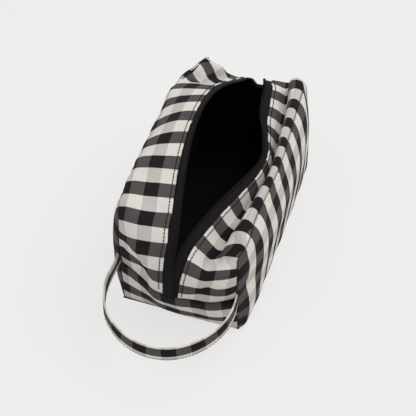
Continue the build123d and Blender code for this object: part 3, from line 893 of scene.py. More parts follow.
@dataclass(frozen=True)
class CheckedCotton:
    """Yarn-dyed cotton in a black and white check.

    Drift is how far uneven yarn moves the edge of a check, in pairs of checks, and edge is how sharp it is.
    Each weight is how much the brightness moves with that effect. The weave weight paints shade into the
    hollows between the threads and the seam weight paints shade into the creases of the seams; the along,
    across and fade weights are the yarn's and the dye's own uneven tone.
    """

    white: Colour = srgb(226, 220, 213)
    light: Colour = srgb(197, 192, 188)
    dark: Colour = srgb(86, 79, 79)
    black: Colour = srgb(34, 28, 30)
    thread: float = 0.42
    fineness: float = 1.6
    fade_patch: float = 24.0
    edge: float = 9.0
    drift: float = 0.022
    weave_shade_weight: float = 0.16
    weave_shade_least: float = 0.88
    along_weight: float = 0.16
    across_weight: float = 0.14
    fade_weight: float = 0.12
    seam_shade_weight: float = 0.85
    rough: float = 0.8
    rough_spread: float = 0.12
    sheen: float = 0.02
    specular: float = 0.08
    relief: float = 0.5
    relief_depth: float = 0.00012

    def build(self, name: str, effects: ClothEffects) -> bpy.types.Material:
        """Builds the material.

        A row is dark where the cosine of its place in the pair of rows is above zero, and so is a
        column, and the four colours are those of the four ways in which the two cross.

        Args:
            name: the material's name.
            effects: the shared effects.

        Returns:
            The material.
        """
        material, wiring, shader = start_material(name)
        chart = wiring.node("ShaderNodeUVMap", uv_map="cloth").outputs[0]
        place = wiring.scaled(chart, ROW_PAIR, ROW_PAIR)
        slub = wiring.group(effects.slub, {"Place": place, "Fineness": self.fineness}).outputs
        weave = wiring.group(effects.weave, {"Place": place, "Thread": self.thread}).outputs["Height"]
        fade = wiring.group(effects.fade, {"Place": place, "Patch Size": self.fade_patch}).outputs["Amount"]
        apart = wiring.node("ShaderNodeSeparateXYZ", {0: chart})
        column = self.mask(wiring, apart.outputs[0], slub["Across"])
        row = self.mask(wiring, apart.outputs[1], slub["Along"])
        pale = wiring.mix(column, self.white, self.light)
        deep = wiring.mix(column, self.dark, self.black)
        dyed = wiring.mix(row, pale, deep)

        # Painted shade: the weave's low places between the threads are darkened.
        shade = wiring.line(weave, self.weave_shade_weight, self.weave_shade_least)
        for value, weight in ((slub["Along"], self.along_weight), (slub["Across"], self.across_weight),
                              (fade, self.fade_weight)):
            shade = wiring.reckon("MULTIPLY", shade, wiring.line(value, weight, 1 - weight / 2))
        # Painted shade: the cloth is darkened in the creases of its seams, by the square of the crease mask.
        crease = wiring.node("ShaderNodeAttribute", attribute_name="crease").outputs["Fac"]
        seam = wiring.line(wiring.reckon("POWER", crease, 2.0), -self.seam_shade_weight, 1.0)
        shade = wiring.reckon("MULTIPLY", shade, seam)
        grey = wiring.node("ShaderNodeCombineColor", {0: shade, 1: shade, 2: shade}).outputs[0]
        wiring.set(shader, "Base Color", wiring.mix(1.0, dyed, grey, "MULTIPLY"))

        wiring.set(shader, "Roughness", wiring.line(fade, self.rough_spread, self.rough))
        wiring.set(shader, "Sheen Weight", self.sheen)
        wiring.set(shader, "Specular IOR Level", self.specular)
        threads = wiring.reckon("ADD", weave, slub["Along"])
        bump = {"Height": threads, "Strength": self.relief, "Distance": self.relief_depth}
        wiring.set(shader, "Normal", wiring.node("ShaderNodeBump", bump).outputs[0])
        return material

    def mask(self, wiring: Wiring, place: object, yarn: object) -> bpy.types.NodeSocket:
        """Finds where a row or a column is dark.

        Args:
            wiring: the material's wiring.
            place: the place across the rows or columns, in pairs of them.
            yarn: the unevenness of the yarn there.

        Returns:
            1 in the dark ones and 0 between them.
        """
        moved = wiring.line(yarn, self.drift, place)
        wave = wiring.reckon("COSINE", wiring.reckon("MULTIPLY", moved, 2 * math.pi))
        return wiring.line(wave, self.edge, 0.5, clamp=True)


@dataclass(frozen=True)
class BlackCloth:
    """A plain black woven cloth, as the lining and the zip's tapes are.

    Slant is how far the weave moves along for each step across, which turns the plain weave into the
    tape's twill. The twill turns back at each rib.
    """

    colour: Colour = srgb(20, 18, 20)
    worn: Colour = srgb(34, 31, 33)
    thread: float = 0.35
    fineness: float = 1.4
    fade_patch: float = 18.0
    slant: float = 0.0
    rib: float = 1.6
    rough: float = 0.77
    rough_spread: float = 0.15
    sheen: float = 0.02
    specular: float = 0.1
    relief: float = 0.6
    relief_depth: float = 0.00015

    def build(self, name: str, effects: ClothEffects) -> bpy.types.Material:
        """Builds the material.

        Args:
            name: the material's name.
            effects: the shared effects.

        Returns:
            The material.
        """
        material, wiring, shader = start_material(name)
        place = wiring.node("ShaderNodeUVMap", uv_map="cloth").outputs[0]
        apart = wiring.node("ShaderNodeSeparateXYZ", {0: place})
        folded = wiring.reckon("PINGPONG", apart.outputs[0], self.rib)
        moved = wiring.line(folded, self.slant, apart.outputs[1])
        twill = wiring.node("ShaderNodeCombineXYZ", {0: apart.outputs[0], 1: moved}).outputs[0]
        weave = wiring.group(effects.weave, {"Place": twill, "Thread": self.thread}).outputs["Height"]
        slub = wiring.group(effects.slub, {"Place": place, "Fineness": self.fineness}).outputs["Along"]
        fade = wiring.group(effects.fade, {"Place": place, "Patch Size": self.fade_patch}).outputs["Amount"]
        amount = wiring.reckon("MULTIPLY", weave, fade)
        wiring.set(shader, "Base Color", wiring.mix(amount, self.colour, self.worn))
        wiring.set(shader, "Roughness", wiring.line(slub, self.rough_spread, self.rough))
        wiring.set(shader, "Sheen Weight", self.sheen)
        wiring.set(shader, "Specular IOR Level", self.specular)
        bump = {"Height": weave, "Strength": self.relief, "Distance": self.relief_depth}
        wiring.set(shader, "Normal", wiring.node("ShaderNodeBump", bump).outputs[0])
        return material


@dataclass(frozen=True)
class MouldedBlack:
    """Black nylon, thread or lacquer: one dark colour, scuffed lighter in small patches.

    The scuff is a straight line through the unevenness, kept between 0 and 1, so only its highest
    patches show.
    """

    colour: Colour
    scuffed: Colour
    rough: float
    fade_patch: float
    metallic: float = 0.0
    specular: float = 0.2
    scuff_slope: float = 4.0
    scuff_start: float = -2.1
    rough_spread: float = 0.25
    relief: float = 0.3
    relief_depth: float = 0.0001

    def build(self, name: str, effects: ClothEffects) -> bpy.types.Material:
        """Builds the material from the piece's own place, in millimetres.

        Args:
            name: the material's name.
            effects: the shared effects.

        Returns:
            The material.
        """
        material, wiring, shader = start_material(name)
        here = wiring.node("ShaderNodeTexCoord").outputs["Object"]
        place = wiring.scaled(here, 1 / MM, 1 / MM, 1 / MM)
        fade = wiring.group(effects.fade, {"Place": place, "Patch Size": self.fade_patch}).outputs["Amount"]
        scuff = wiring.line(fade, self.scuff_slope, self.scuff_start, clamp=True)
        wiring.set(shader, "Base Color", wiring.mix(scuff, self.colour, self.scuffed))
        wiring.set(shader, "Roughness", wiring.line(scuff, self.rough_spread, self.rough))
        wiring.set(shader, "Specular IOR Level", self.specular)
        wiring.set(shader, "Metallic", self.metallic)
        bump = {"Height": fade, "Strength": self.relief, "Distance": self.relief_depth}
        wiring.set(shader, "Normal", wiring.node("ShaderNodeBump", bump).outputs[0])
        return material


LINING_FINISH = BlackCloth(colour=srgb(12, 11, 12), worn=srgb(22, 20, 22))
TAPE_FINISH = BlackCloth(thread=0.5, slant=1.0)
TEETH_FINISH = MouldedBlack(srgb(17, 16, 18), srgb(34, 32, 34), rough=0.5, fade_patch=2.0)
THREAD_FINISH = MouldedBlack(srgb(20, 18, 20), srgb(32, 30, 32), rough=0.8, fade_patch=1.2)
LACQUER_FINISH = MouldedBlack(srgb(16, 16, 18), srgb(60, 58, 60), rough=0.28, fade_patch=2.5, metallic=0.6)


@dataclass
class Finishes:
    """All the finishes of the bag, built once."""

    check: Fabric
    lining: Fabric
    tape: Fabric
    teeth: bpy.types.Material
    thread: bpy.types.Material
    lacquer: bpy.types.Material

    @classmethod
    def build(cls) -> Finishes:
        """Builds every finish.

        Returns:
            The finishes.
        """
        effects = ClothEffects()
        return cls(
            check=Fabric(CLOTH_THICK, CheckedCotton().build("checked_cotton", effects), "checked_cloth"),
            lining=Fabric(LINING_THICK, LINING_FINISH.build("black_lining", effects), "lining_cloth"),
            tape=Fabric(TAPE_THICK, TAPE_FINISH.build("zip_tape", effects), "zipper_tape"),
            teeth=TEETH_FINISH.build("coil_nylon", effects),
            thread=THREAD_FINISH.build("black_thread", effects),
            lacquer=LACQUER_FINISH.build("black_lacquer", effects),
        )


def cloth_pattern(across: np.ndarray, along: np.ndarray) -> np.ndarray:
    """Pairs the two coordinates of a cloth as its pattern.

    Args:
        across: the place across the columns of the check, or across a plain cloth.
        along: the place across its rows, or along a plain cloth.

    Returns:
        The pattern, with the two along its last axis.
    """
    return np.stack(np.broadcast_arrays(across, along), axis=-1)


@dataclass
class ZipHalf:
    """One half of the top: its checked strip down both ends, its lining, tape, teeth and topstitch.

    First column is how far from its free edge the second column of the check starts. The slow waves lie
    all over the strip, the hem's ones beside the zip and the seam's ones at the shoulder, and the seeds
    are theirs in this order. The cloth sinks under the topstitch and at its folded edge, each over its
    own width.
    """

    side: Side
    lines: tuple[Line, ...]
    teeth: tuple[tuple[float, Place], ...]
    seeds: tuple[int, int, int]
    rows: int = 330
    columns: int = 50
    first_column: float = 16.3
    least_column: float = 0.04
    slow_waves: Waves = Waves(0.35, 34.0)
    hem_waves: Waves = Waves(0.28, 9.0, 0.2)
    hem_width: float = 4.0
    seam_waves: Waves = Waves(0.3, 11.0, 0.2)
    seam_width: float = 6.0
    fade: float = 3.0
    sink: float = 0.35
    stitch_in: float = 3.2
    stitch_width: float = 0.8
    fold_width: float = 1.2
    stitching: Stitching = Stitching(stitch=3.1, gap=0.25, thick=1.1)
    stitch_rows: int = 4
    tape_width: float = 14.0
    tape_columns: int = 15
    tape_under: float = 5.0
    tape_shown: float = 0.64
    tape_drop: tuple[float, float] = (1.5, 2.0)
    coil_radius: float = 1.15
    coil_pitch: float = 1.4
    coil_steps: int = 10
    wire: float = 0.75
    wire_sides: int = 6
    lining_softness: int = 14
    lining_column: int = 4
    lining_drop: float = 1.0
    lining_join: float = 0.12
    join_softness: int = 4
    lining_overlap: float = 4.0
    along: np.ndarray = field(init=False)
    strip: Patch = field(init=False)

    def __post_init__(self) -> None:
        """Works out the bare strip, before its seams and waves."""
        self.along = np.linspace(NEAR_SEAM, FAR_SEAM, self.rows)
        knots = np.array([line.along for line in self.lines])
        ruled = np.stack([even_line(np.array(line.places, float), self.columns) for line in self.lines])
        places = through(knots, ruled, self.along)
        draw = through(knots, np.array([line.draw for line in self.lines]), self.along)
        cloth = draw[:, None] * Patch(places, places[..., :2], 1).reach()
        column = np.maximum(1 + (cloth - self.first_column) / CHECK, self.least_column)
        pattern = cloth_pattern((column - DARK_COLUMN) / 2, (self.along[:, None] - DARK_ROW) / ROW_PAIR)
        self.strip = Patch(places, pattern, self.side.value)

    def name(self, part: str) -> str:
        """Gives a part's name with this half's side on it."""
        return f"{part}_{self.side.name.lower()}"

    def edge(self, along: np.ndarray) -> np.ndarray:
        """Gives the shoulder seam's places at the given places along the strip."""
        return at_length(along, self.along, self.strip.places[:, -1])

    def seam_way(self, along: np.ndarray) -> np.ndarray:
        """Gives the way in at the shoulder seam, halfway between the strip's and the wall's own."""
        out = unit(self.strip.normals()[:, -1] + np.array([0.0, self.side.value, 0.0]))
        return -at_length(along, self.along, out)

    def teeth_line(self) -> np.ndarray:
        """Gives the middle of the row of teeth, at each of the strip's rows."""
        knots = np.array([along for along, _ in self.teeth])
        return through(knots, np.array([place for _, place in self.teeth], float), self.along)

    def cloth(self) -> Patch:
        """Gives the strip with its waves and its sewn edges.

        Near the zip and near the shoulder the short waves grow with e to the power minus the squared
        share of the distance in their width, and all the waves fade to nothing at the seams.

        Returns:
            The strip as a patch.
        """
        bare = self.strip
        run, reach = bare.run(), bare.reach()
        inside = reach[:, -1:] - reach
        end = np.minimum(run, run[-1:] - run)
        hem = np.exp(-((reach / self.hem_width) ** 2))
        seam = np.exp(-((inside / self.seam_width) ** 2))
        height = self.slow_waves.over(run, reach, self.seeds[0])
        height = height + hem * self.hem_waves.over(run, reach, self.seeds[1])
        height = height + seam * self.seam_waves.over(run, reach, self.seeds[2])
        height = height - self.sink * np.exp(-(((reach - self.stitch_in) / self.stitch_width) ** 2))
        height = height - self.sink * np.clip(1 - reach / self.fold_width, 0, 1)
        height = height * np.clip(inside / self.fade, 0, 1) * np.clip(end / self.fade, 0, 1)
        way = self.seam_way(self.along)[:, None]
        return bare.pushed(height).sewn((end,)).sewn((inside,), way)

    def tape_cloth(self) -> Patch:
        """Gives the tape, from the teeth to where it ends under the strip.

        Each of its rows passes the teeth, a little under the strip's folded edge and on under it.

        Returns:
            The tape as a patch, with its places in millimetres as its pattern.
        """
        strip = self.strip
        out = strip.normals()
        column = int(np.argmax(strip.reach()[self.rows // 2] > self.tape_under))
        teeth = self.teeth_line()
        edge = strip.places[:, 0] - self.tape_drop[0] * out[:, 0]
        under = strip.places[:, column] - self.tape_drop[1] * out[:, column]
        share = np.linspace(0, 1, self.tape_columns)
        across = through(np.array([0.0, self.tape_shown, 1.0]), np.stack([teeth, edge, under]), share)
        pattern = cloth_pattern(self.tape_width * share[None, :], run_length(teeth)[:, None])
        return Patch(np.moveaxis(across, 0, 1), pattern, self.side.value)

    def coil_mesh(self, tape: Patch) -> tuple[np.ndarray, list]:
        """Winds the coil of teeth round its line.

        The wire's middle turns round the line at a fixed radius, once for each pitch. Round it stands a
        ring of places, in the plane of the way outwards and the way across the wire.

        Args:
            tape: the tape, which gives the way up.

        Returns:
            The places and the faces.
        """
        line = self.teeth_line()
        run = run_length(line)
        turns = int(run[-1] / self.coil_pitch)
        at = np.linspace(0, run[-1], turns * self.coil_steps + 1)
        centre = at_length(at, run, line)
        up = unit(at_length(at, run, tape.normals()[:, 0]))
        side = np.cross(unit(np.gradient(centre, axis=0)), up)
        angle = (2 * math.pi * at / (run[-1] / turns))[:, None]
        out = side * np.cos(angle) + up * np.sin(angle)
        wire = centre + out * self.coil_radius
        across = unit(np.cross(unit(np.gradient(wire, axis=0)), out))
        turn = np.arange(self.wire_sides) * 2 * math.pi / self.wire_sides
        ring = out[:, None] * np.cos(turn)[:, None] + across[:, None] * np.sin(turn)[:, None]
        places = wire[:, None] + ring * self.wire / 2
        number = np.arange(len(at) * self.wire_sides).reshape(1, -1, self.wire_sides)
        return places.reshape(-1, 3), tube_faces(number[..., ::-1])

    def lining_cloth(self, tape: Patch) -> Patch:
        """Gives the strip's lining, which starts under the tape and hangs inside the strip.

        Args:
            tape: the tape.

        Returns:
            The lining, whose two ends reach a little down over the linings of the end walls.
        """
        inner = self.strip.lining(LINING_DEPTH, self.lining_softness)
        start = tape.places[:, self.lining_column] - self.lining_drop * tape.normals()[:, self.lining_column]
        share = np.clip(np.linspace(0, 1, self.columns) / self.lining_join, 0, 1)[None, :, None]
        places = softened(start[:, None] * (1 - share) + inner.places * share, 1, self.join_softness)
        for row, behind in ((0, 1), (-1, -2)):
            places[row] += self.lining_overlap * unit(places[row] - places[behind])
        return Patch(places, inner.pattern, self.side.value)

    def topstitch(self, cloth: Patch, thread: bpy.types.Material) -> bpy.types.Object:
        """Sews the line of stitches beside the tape.

        Args:
            cloth: the strip that it is sewn on.
            thread: what it is made of.

        Returns:
            The stitches.
        """
        column = int(np.argmin(np.abs(cloth.reach()[self.rows // 2] - self.stitch_in)))
        inner = slice(self.stitch_rows, -self.stitch_rows)
        laid = self.stitching.along(cloth.places[inner, column], cloth.normals()[inner, column])
        stitches = make_piece(self.name("topstitch"), *laid)
        stitches.data.materials.append(thread)
        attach(stitches, "bag")
        return stitches

    def build(self, finishes: Finishes) -> list[bpy.types.Object]:
        """Makes and dresses this half's pieces.

        Args:
            finishes: the finishes.

        Returns:
            The pieces.
        """
        cloth = self.cloth()
        panel = lay_sheet(self.name("top_cloth"), cloth, finishes.check, self.name("top_panel"))
        tape = self.tape_cloth()
        band = lay_sheet(self.name("zip_tape"), tape, finishes.tape, self.name("zipper_tape"))
        teeth = make_piece(self.name("zip_coil"), *self.coil_mesh(tape))
        teeth.data.materials.append(finishes.teeth)
        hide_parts(self.name("zipper_coil"))
        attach(teeth, "bag")
        lining = self.lining_cloth(tape)
        inside = lay_sheet(self.name("lining_top_cloth"), lining, finishes.lining, self.name("lining_top"))
        return [panel, band, teeth, inside, self.topstitch(cloth, finishes.thread)]


def fit_edge(places: np.ndarray, edge: np.ndarray, row: int, spread: float) -> None:
    """Moves one border row of a grid onto an edge, and the rows behind it less and less.

    The move fades with the square of the distance from the border, over the given share of the grid.

    Args:
        places: the grid, which is changed.
        edge: the places that the border takes.
        row: 0 for the first row, -1 for the last.
        spread: the share of the rows that move.
    """
    move = edge - places[row]
    share = np.linspace(0, 1, len(places))
    if row == -1:
        share = 1 - share
    fade = np.clip(1 - share / spread, 0, 1) ** 2
    places += fade[:, None, None] * move[None]


@dataclass
class SideWall:
    """One long wall of the bag, from the shoulder seam down to the base, with its lining.

    Fit top and fit base are the shares of the wall that give way to meet the seam and the base's edge.
    The seeds are the slow waves' and the seam's.
    """

    half: ZipHalf
    lines: tuple[Line, ...]
    seeds: tuple[int, int]
    rows: int = 190
    columns: int = 90
    near_steps: int = 12
    far_steps: int = 10
    checks_down: float = 8.7
    fit_top: float = 0.25
    fit_base: float = 0.1
    slow_waves: Waves = Waves(0.5, 42.0)
    seam_waves: Waves = Waves(0.3, 11.0, 0.2)
    seam_width: float = 7.0
    fade: float = 4.0
    lining_softness: int = 10

    def corner(self, end: End) -> np.ndarray:
        """Gives the upright seam at one end, from the shoulder to the base.

        Args:
            end: the end.

        Returns:
            The seam's places, one for each of the wall's columns.
        """
        if end is End.NEAR:
            along = np.linspace(CORNER_NEAR, NEAR_SEAM, self.near_steps)
            lower = NEAR_CORNER[self.half.side]
        else:
            along = np.linspace(CORNER_FAR, FAR_SEAM, self.far_steps)
            lower = FAR_CORNER[self.half.side]
        upper = self.half.edge(along)
        return even_line(np.concatenate([upper[:-1], np.array(lower, float)]), self.columns)

    def along(self) -> np.ndarray:
        """Gives the place along the strip of each of the wall's rows."""
        return np.linspace(CORNER_NEAR, CORNER_FAR, self.rows)

    def wall(self) -> Patch:
        """Works out the wall, whose borders are the top's seam, the upright seams and the base.

        Returns:
            The wall as a patch that runs along the bag, then down.
        """
        ruled = [self.corner(End.NEAR)]
        for line in self.lines:
            top = self.half.edge(np.array([line.along]))
            ruled.append(even_line(np.concatenate([top, np.array(line.places, float)]), self.columns))
        ruled.append(self.corner(End.FAR))
        knots = np.array([CORNER_NEAR] + [line.along for line in self.lines] + [CORNER_FAR])
        along = self.along()
        places = through(knots, np.stack(ruled), along)
        across = np.swapaxes(places, 0, 1)
        fit_edge(across, self.half.edge(along), 0, self.fit_top)
        foot = np.full(self.rows, BASE_Y * self.half.side.value)
        base = np.stack([places[:, -1, 0], foot, np.zeros(self.rows)], axis=-1)
        fit_edge(across, base, -1, self.fit_base)
        column = np.linspace(0, self.checks_down, self.columns)
        row = along[:, None] - DARK_ROW
        pattern = cloth_pattern((column[None, :] - DARK_COLUMN) / 2, row / ROW_PAIR)
        return Patch(places, pattern, self.half.side.value)

    def cloth(self) -> Patch:
        """Gives the wall with its waves and sewn edges.

        Returns:
            The wall as a patch.
        """
        bare = self.wall()
        run, reach = bare.run(), bare.reach()
        end = np.minimum(run, run[-1:] - run)
        seam = np.exp(-((reach / self.seam_width) ** 2))
        height = self.slow_waves.over(run, reach, self.seeds[0])
        height = height + seam * self.seam_waves.over(run, reach, self.seeds[1])
        height = height * np.clip(bare.border() / self.fade, 0, 1)
        way = self.half.seam_way(self.along())[:, None]
        return bare.pushed(height).sewn((reach[:, -1:] - reach, end)).sewn((reach,), way)

    def build(self, finishes: Finishes) -> list[bpy.types.Object]:
        """Makes and dresses the wall and its lining.

        Args:
            finishes: the finishes.

        Returns:
            The pieces.
        """
        side = self.half.side.name.lower()
        panel = lay_sheet(f"side_cloth_{side}", self.cloth(), finishes.check, f"side_panel_{side}")
        lining = self.wall().lining(LINING_DEPTH, self.lining_softness)
        inside = lay_sheet(f"lining_side_cloth_{side}", lining, finishes.lining, f"lining_side_{side}")
        return [panel, inside]


@dataclass
class EndWall:
    """The low wall at one end, from the strip's end seam down to the base, with its lining.

    The lining rises behind the ends of the strips. Behind the slider it stands further in and rises
    twice as far, over a room on each side of the zip that fades out over a ramp.
    """

    end: End
    left: ZipHalf
    right: ZipHalf
    bulge: tuple[tuple[float, float], ...]
    slider_depth: float = 0.0
    dark_column: float = 2.5
    dark_row: float = 7.2
    fit_side: float = 0.3
    waves: Waves = Waves(0.8, 30.0, 0.6)
    seed: int = 31
    fade: float = 5.0
    lining_softness: int = 8
    lining_rise: float = 4.0
    slider_room: float = 6.5
    slider_ramp: float = 2.0
    rows: int = 96
    columns: int = 46
    top_step: int = 5

    def wall(self) -> Patch:
        """Works out the wall.

        Its top is the end seam of both strips, its sides are the upright seams and its foot is
        straight. Between them each place goes from the top's x to the foot's, by the share of the way
        out that the bulge gives for the share of the way down.

        Returns:
            The wall as a patch that runs across the bag, then down.
        """
        near = self.end is End.NEAR
        row = 0 if near else -1
        corners = NEAR_CORNER if near else FAR_CORNER
        left, right = self.left.strip.places[row], self.right.strip.places[row]
        step = self.top_step
        top = np.concatenate([left[::-1][:-1:step], left[:1], right[1::step], right[-1:]])
        top = even_line(top, self.rows)
        sides = {side: even_line(np.array(corners[side], float), self.columns) for side in Side}
        first, last = sides[Side.LEFT][-1], sides[Side.RIGHT][-1]
        foot = first + np.linspace(0, 1, self.rows)[:, None] * (last - first)
        down = np.linspace(0, 1, self.columns)
        out = through(*(np.array(column, float) for column in zip(*self.bulge)), down)
        share = np.stack([out, down, down], axis=-1)[None]
        places = top[:, None] * (1 - share) + foot[:, None] * share
        fit_edge(places, sides[Side.LEFT], 0, self.fit_side)
        fit_edge(places, sides[Side.RIGHT], -1, self.fit_side)
        drop = Patch(places, places[..., :2], 1).reach()
        column = (places[..., 1] - self.dark_column) / ROW_PAIR
        return Patch(places, cloth_pattern(column, (self.dark_row - drop) / ROW_PAIR), self.end.value)

    def cloth(self) -> Patch:
        """Gives the wall with its waves and sewn edges.

        Returns:
            The wall as a patch.
        """
        bare = self.wall()
        border = bare.border()
        height = self.waves.over(bare.reach(), bare.run(), self.seed)
        return bare.pushed(height * np.clip(border / self.fade, 0, 1)).sewn((border,))

    def lining_cloth(self) -> Patch:
        """Gives the wall's lining, set in behind the slider.

        Returns:
            The lining as a patch.
        """
        lining = self.wall().lining(LINING_DEPTH, self.lining_softness)
        places = lining.places
        off_zip = np.abs(places[:, 0, 1:2] - ZIP_Y)
        behind = 1 - np.clip((off_zip - self.slider_room) / self.slider_ramp, 0, 1)
        rise = self.lining_rise * (1 + behind * (self.slider_depth > 0))
        places[:, 0] += rise * unit(places[:, 0] - places[:, 1])
        places[:, 0] += behind * np.array([-self.slider_depth, 0, 0])
        return lining

    def build(self, finishes: Finishes) -> list[bpy.types.Object]:
        """Makes and dresses the wall and its lining.

        Args:
            finishes: the finishes.

        Returns:
            The pieces.
        """
        end = self.end.name.lower()
        panel = lay_sheet(f"{end}_end_cloth", self.cloth(), finishes.check, f"{end}_end_panel")
        name = f"lining_{end}_end"
        inside = lay_sheet(f"{name}_cloth", self.lining_cloth(), finishes.lining, name)
        return [panel, inside]


@dataclass
class BaseCloth:
    """The flat base, with the lining that lies on it in low folds that cross each other."""

    rows: int = 120
    columns: int = 60
    lining_inset: float = 2.0
    lining_height: float = 3.0
    folds: Waves = Waves(0.9, 38.0)
    cross_folds: Waves = Waves(0.5, 17.0)
    seeds: tuple[int, int] = (41, 42)
    fade: float = 12.0

    def sheet(self, inset: float, height: float, outward: int) -> Patch:
        """Gives a flat sheet.

        Args:
            inset: how much smaller than the base it is, all round.
            height: how far it lies above the ground.
            outward: 1 if its outer face looks up, -1 if it looks down.

        Returns:
            The sheet as a patch.
        """
        x = np.linspace(-BASE_X + inset, BASE_X - inset, self.rows)
        y = np.linspace(-BASE_Y + inset, BASE_Y - inset, self.columns)
        grid = np.stack(np.broadcast_arrays(x[:, None], y[None, :], np.float64(height)), axis=-1)
        pattern = cloth_pattern(y[None, :] / ROW_PAIR, (x[:, None] - DARK_ROW) / ROW_PAIR)
        return Patch(grid.copy(), pattern, outward)

    def build(self, finishes: Finishes) -> list[bpy.types.Object]:
        """Makes and dresses the base and its lining.

        Args:
            finishes: the finishes.

        Returns:
            The pieces.
        """
        under = self.sheet(0.0, 0.0, -1)
        bottom = lay_sheet("base_cloth", under, finishes.check, "base_panel", foot=0.0)
        over = self.sheet(self.lining_inset, self.lining_height, 1)
        run, reach = over.run(), over.reach()
        height = self.folds.over(run, reach, self.seeds[0])
        height = height + self.cross_folds.over(reach, run, self.seeds[1])
        over = over.pushed(height * np.clip(over.border() / self.fade, 0, 1))
        over.pattern = over.pattern * ROW_PAIR
        inside = lay_sheet("lining_base_cloth", over, finishes.lining, "lining_base")
        return [bottom, inside]


@dataclass
class HangLoop:
    """The flat strap that hangs from the near end's upright seams, sewn from folded checked cloth.

    Its section has round edges and flat faces, by the two powers. It rises at its two ends, over the
    rise width, and leans in over the middle part of its length, whose share and start are named too.
    Dark in is how far the dark lane's middle lies from the upper edge of the outer face. Bend, where along x
    the strap would start and end to turn with its hinge, is not used.
    """

    width: float = 16.5
    thick: float = 2.2
    pivot_x: float = -141.0
    pivot_z: float = 54.0
    dip: float = 9.5
    lean: float = 16.0
    lean_start: float = 0.12
    lean_share: float = 0.84
    lean_power: float = 0.8
    left_rise: float = 11.0
    right_rise: float = 6.0
    rise_width: float = 18.0
    rows: int = 240
    around: int = 56
    edge_power: float = 0.55
    face_power: float = 0.5
    pucker: Waves = Waves(0.05, 13.0, 0.3)
    seed: int = 51
    row_pair: float = 28.0
    dark_in: float = 6.5
    outer_pair: float = 20.0
    inner_pair: float = 14.0
    stitching: Stitching = Stitching(stitch=2.4, gap=1.0, thick=0.5)
    stitch_rows: int = 6
    stitch_in: float = 1.5
    stitch_sink: float = 0.1
    bend: tuple[float, float] = (-134.0, -150.0)
    line: tuple[tuple[float, float], ...] = (
        (60.8, -8.5), (61, -3), (62, 2), (63.8, 9), (64.2, 18), (61, 31), (53, 46), (38.5, 59),
        (21, 67.5), (0, 70.5), (-20, 66.5), (-38, 55.5), (-52, 39.5), (-60, 21.5), (-62, 8), (-61.8, 2),
        (-61.2, -3), (-60.8, -8.5),
    )

    def centre(self) -> np.ndarray:
        """Gives the strap's middle line, in the plane that dips from the pivot.

        Returns:
            Its places, evenly spaced.
        """
        flat = np.array([(y, out, 0.0) for y, out in self.line])
        even = even_line(flat, self.rows)
        slope = math.radians(self.dip)
        run = run_length(even)
        x = self.pivot_x - even[:, 1] * math.cos(slope)
        z = self.pivot_z - even[:, 1] * math.sin(slope)
        z = z + self.left_rise * np.exp(-((run / self.rise_width) ** 2))
        z = z + self.right_rise * np.exp(-(((run[-1] - run) / self.rise_width) ** 2))
        return np.stack([x, even[:, 0], z], axis=-1)

    def frame(self) -> tuple[np.ndarray, np.ndarray, np.ndarray]:
        """Gives the middle line, the way up its width and the way out of its outer face.

        The strap stands square to its plane at its ends. Between them its upper edge leans in, by an
        angle that grows and fades with a power of a sine.

        Returns:
            The three, for every place of the line.
        """
        centre = self.centre()
        slope = math.radians(self.dip)
        square = np.broadcast_to([-math.sin(slope), 0.0, math.cos(slope)], centre.shape)
        flat = unit(np.cross(np.gradient(centre, axis=0), square))
        share = np.clip((np.linspace(0, 1, len(centre)) - self.lean_start) / self.lean_share, 0, 1)
        angle = math.radians(self.lean) * np.sin(math.pi * share)[:, None] ** self.lean_power
        up = square * np.cos(angle) - flat * np.sin(angle)
        out = flat * np.cos(angle) + square * np.sin(angle)
        return centre, up, out

    def section(self) -> tuple[np.ndarray, np.ndarray]:
        """Works out the strap's section, a closed curve.

        Across is half the width times the cosine to a small power, and out is half the thickness times
        the sine to one.

        Returns:
            How far across and how far out each place of the curve lies.
        """
        turn = np.arange(self.around) * 2 * math.pi / self.around
        across = np.sign(np.cos(turn)) * np.abs(np.cos(turn)) ** self.edge_power * self.width / 2
        proud = np.sign(np.sin(turn)) * np.abs(np.sin(turn)) ** self.face_power * self.thick / 2
        return across, proud

    def pattern(self, run: np.ndarray) -> np.ndarray:
        """Args:
            run: the length along the strap.

        Returns:
            The pattern, for every place of the line and of the section.
        """
        across, proud = self.section()
        from_top = self.width / 2 - across
        outer = (from_top - self.dark_in) / self.outer_pair
        inner = (from_top - self.width / 2) / self.inner_pair
        lane = np.where(proud >= 0, outer, inner)
        return cloth_pattern(run[:, None] / self.row_pair, lane[None, :])

    def build(self, finishes: Finishes) -> list[bpy.types.Object]:
        """Makes and dresses the strap and its stitches.

        Args:
            finishes: the finishes.

        Returns:
            The pieces.
        """
        centre, up, out = self.frame()
        across, proud = self.section()
        run = run_length(centre)
        proud = proud[None, :] * (1 + self.pucker.over(run[:, None], across[None, :], self.seed))
        places = centre[:, None] + up[:, None] * across[None, :, None] + out[:, None] * proud[..., None]
        number = np.arange(self.rows * self.around).reshape(1, self.rows, self.around)
        flat = np.zeros(self.rows * self.around)
        strap = make_piece("hang_loop_cloth", places, tube_faces(number), self.pattern(run), flat)
        strap.data.materials.append(finishes.check.material)
        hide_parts("handle_strap")
        inner = slice(self.stitch_rows, -self.stitch_rows)
        low = centre - up * (self.width / 2 - self.stitch_in) + out * (self.thick / 2 - self.stitch_sink)
        stitches = make_piece("loop_stitches", *self.stitching.along(low[inner], out[inner]))
        stitches.data.materials.append(finishes.thread)
        for piece in (strap, stitches):
            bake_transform(piece)
        return [strap, stitches]


@dataclass
class ZipPull:
    """The slider and its pull tab, which keep their solids' shapes."""

    nodes: tuple[str, ...] = ("slider_body", "pull_tab")

    def dress(self, frame: dict, finishes: Finishes) -> None:
        """Puts the black lacquer on both.

        Args:
            frame: the frame, which holds the solids by name.
            finishes: the finishes.
        """
        for name in self.nodes:
            node = frame["nodes"][name]
            node.data.materials.clear()
            node.data.materials.append(finishes.lacquer)


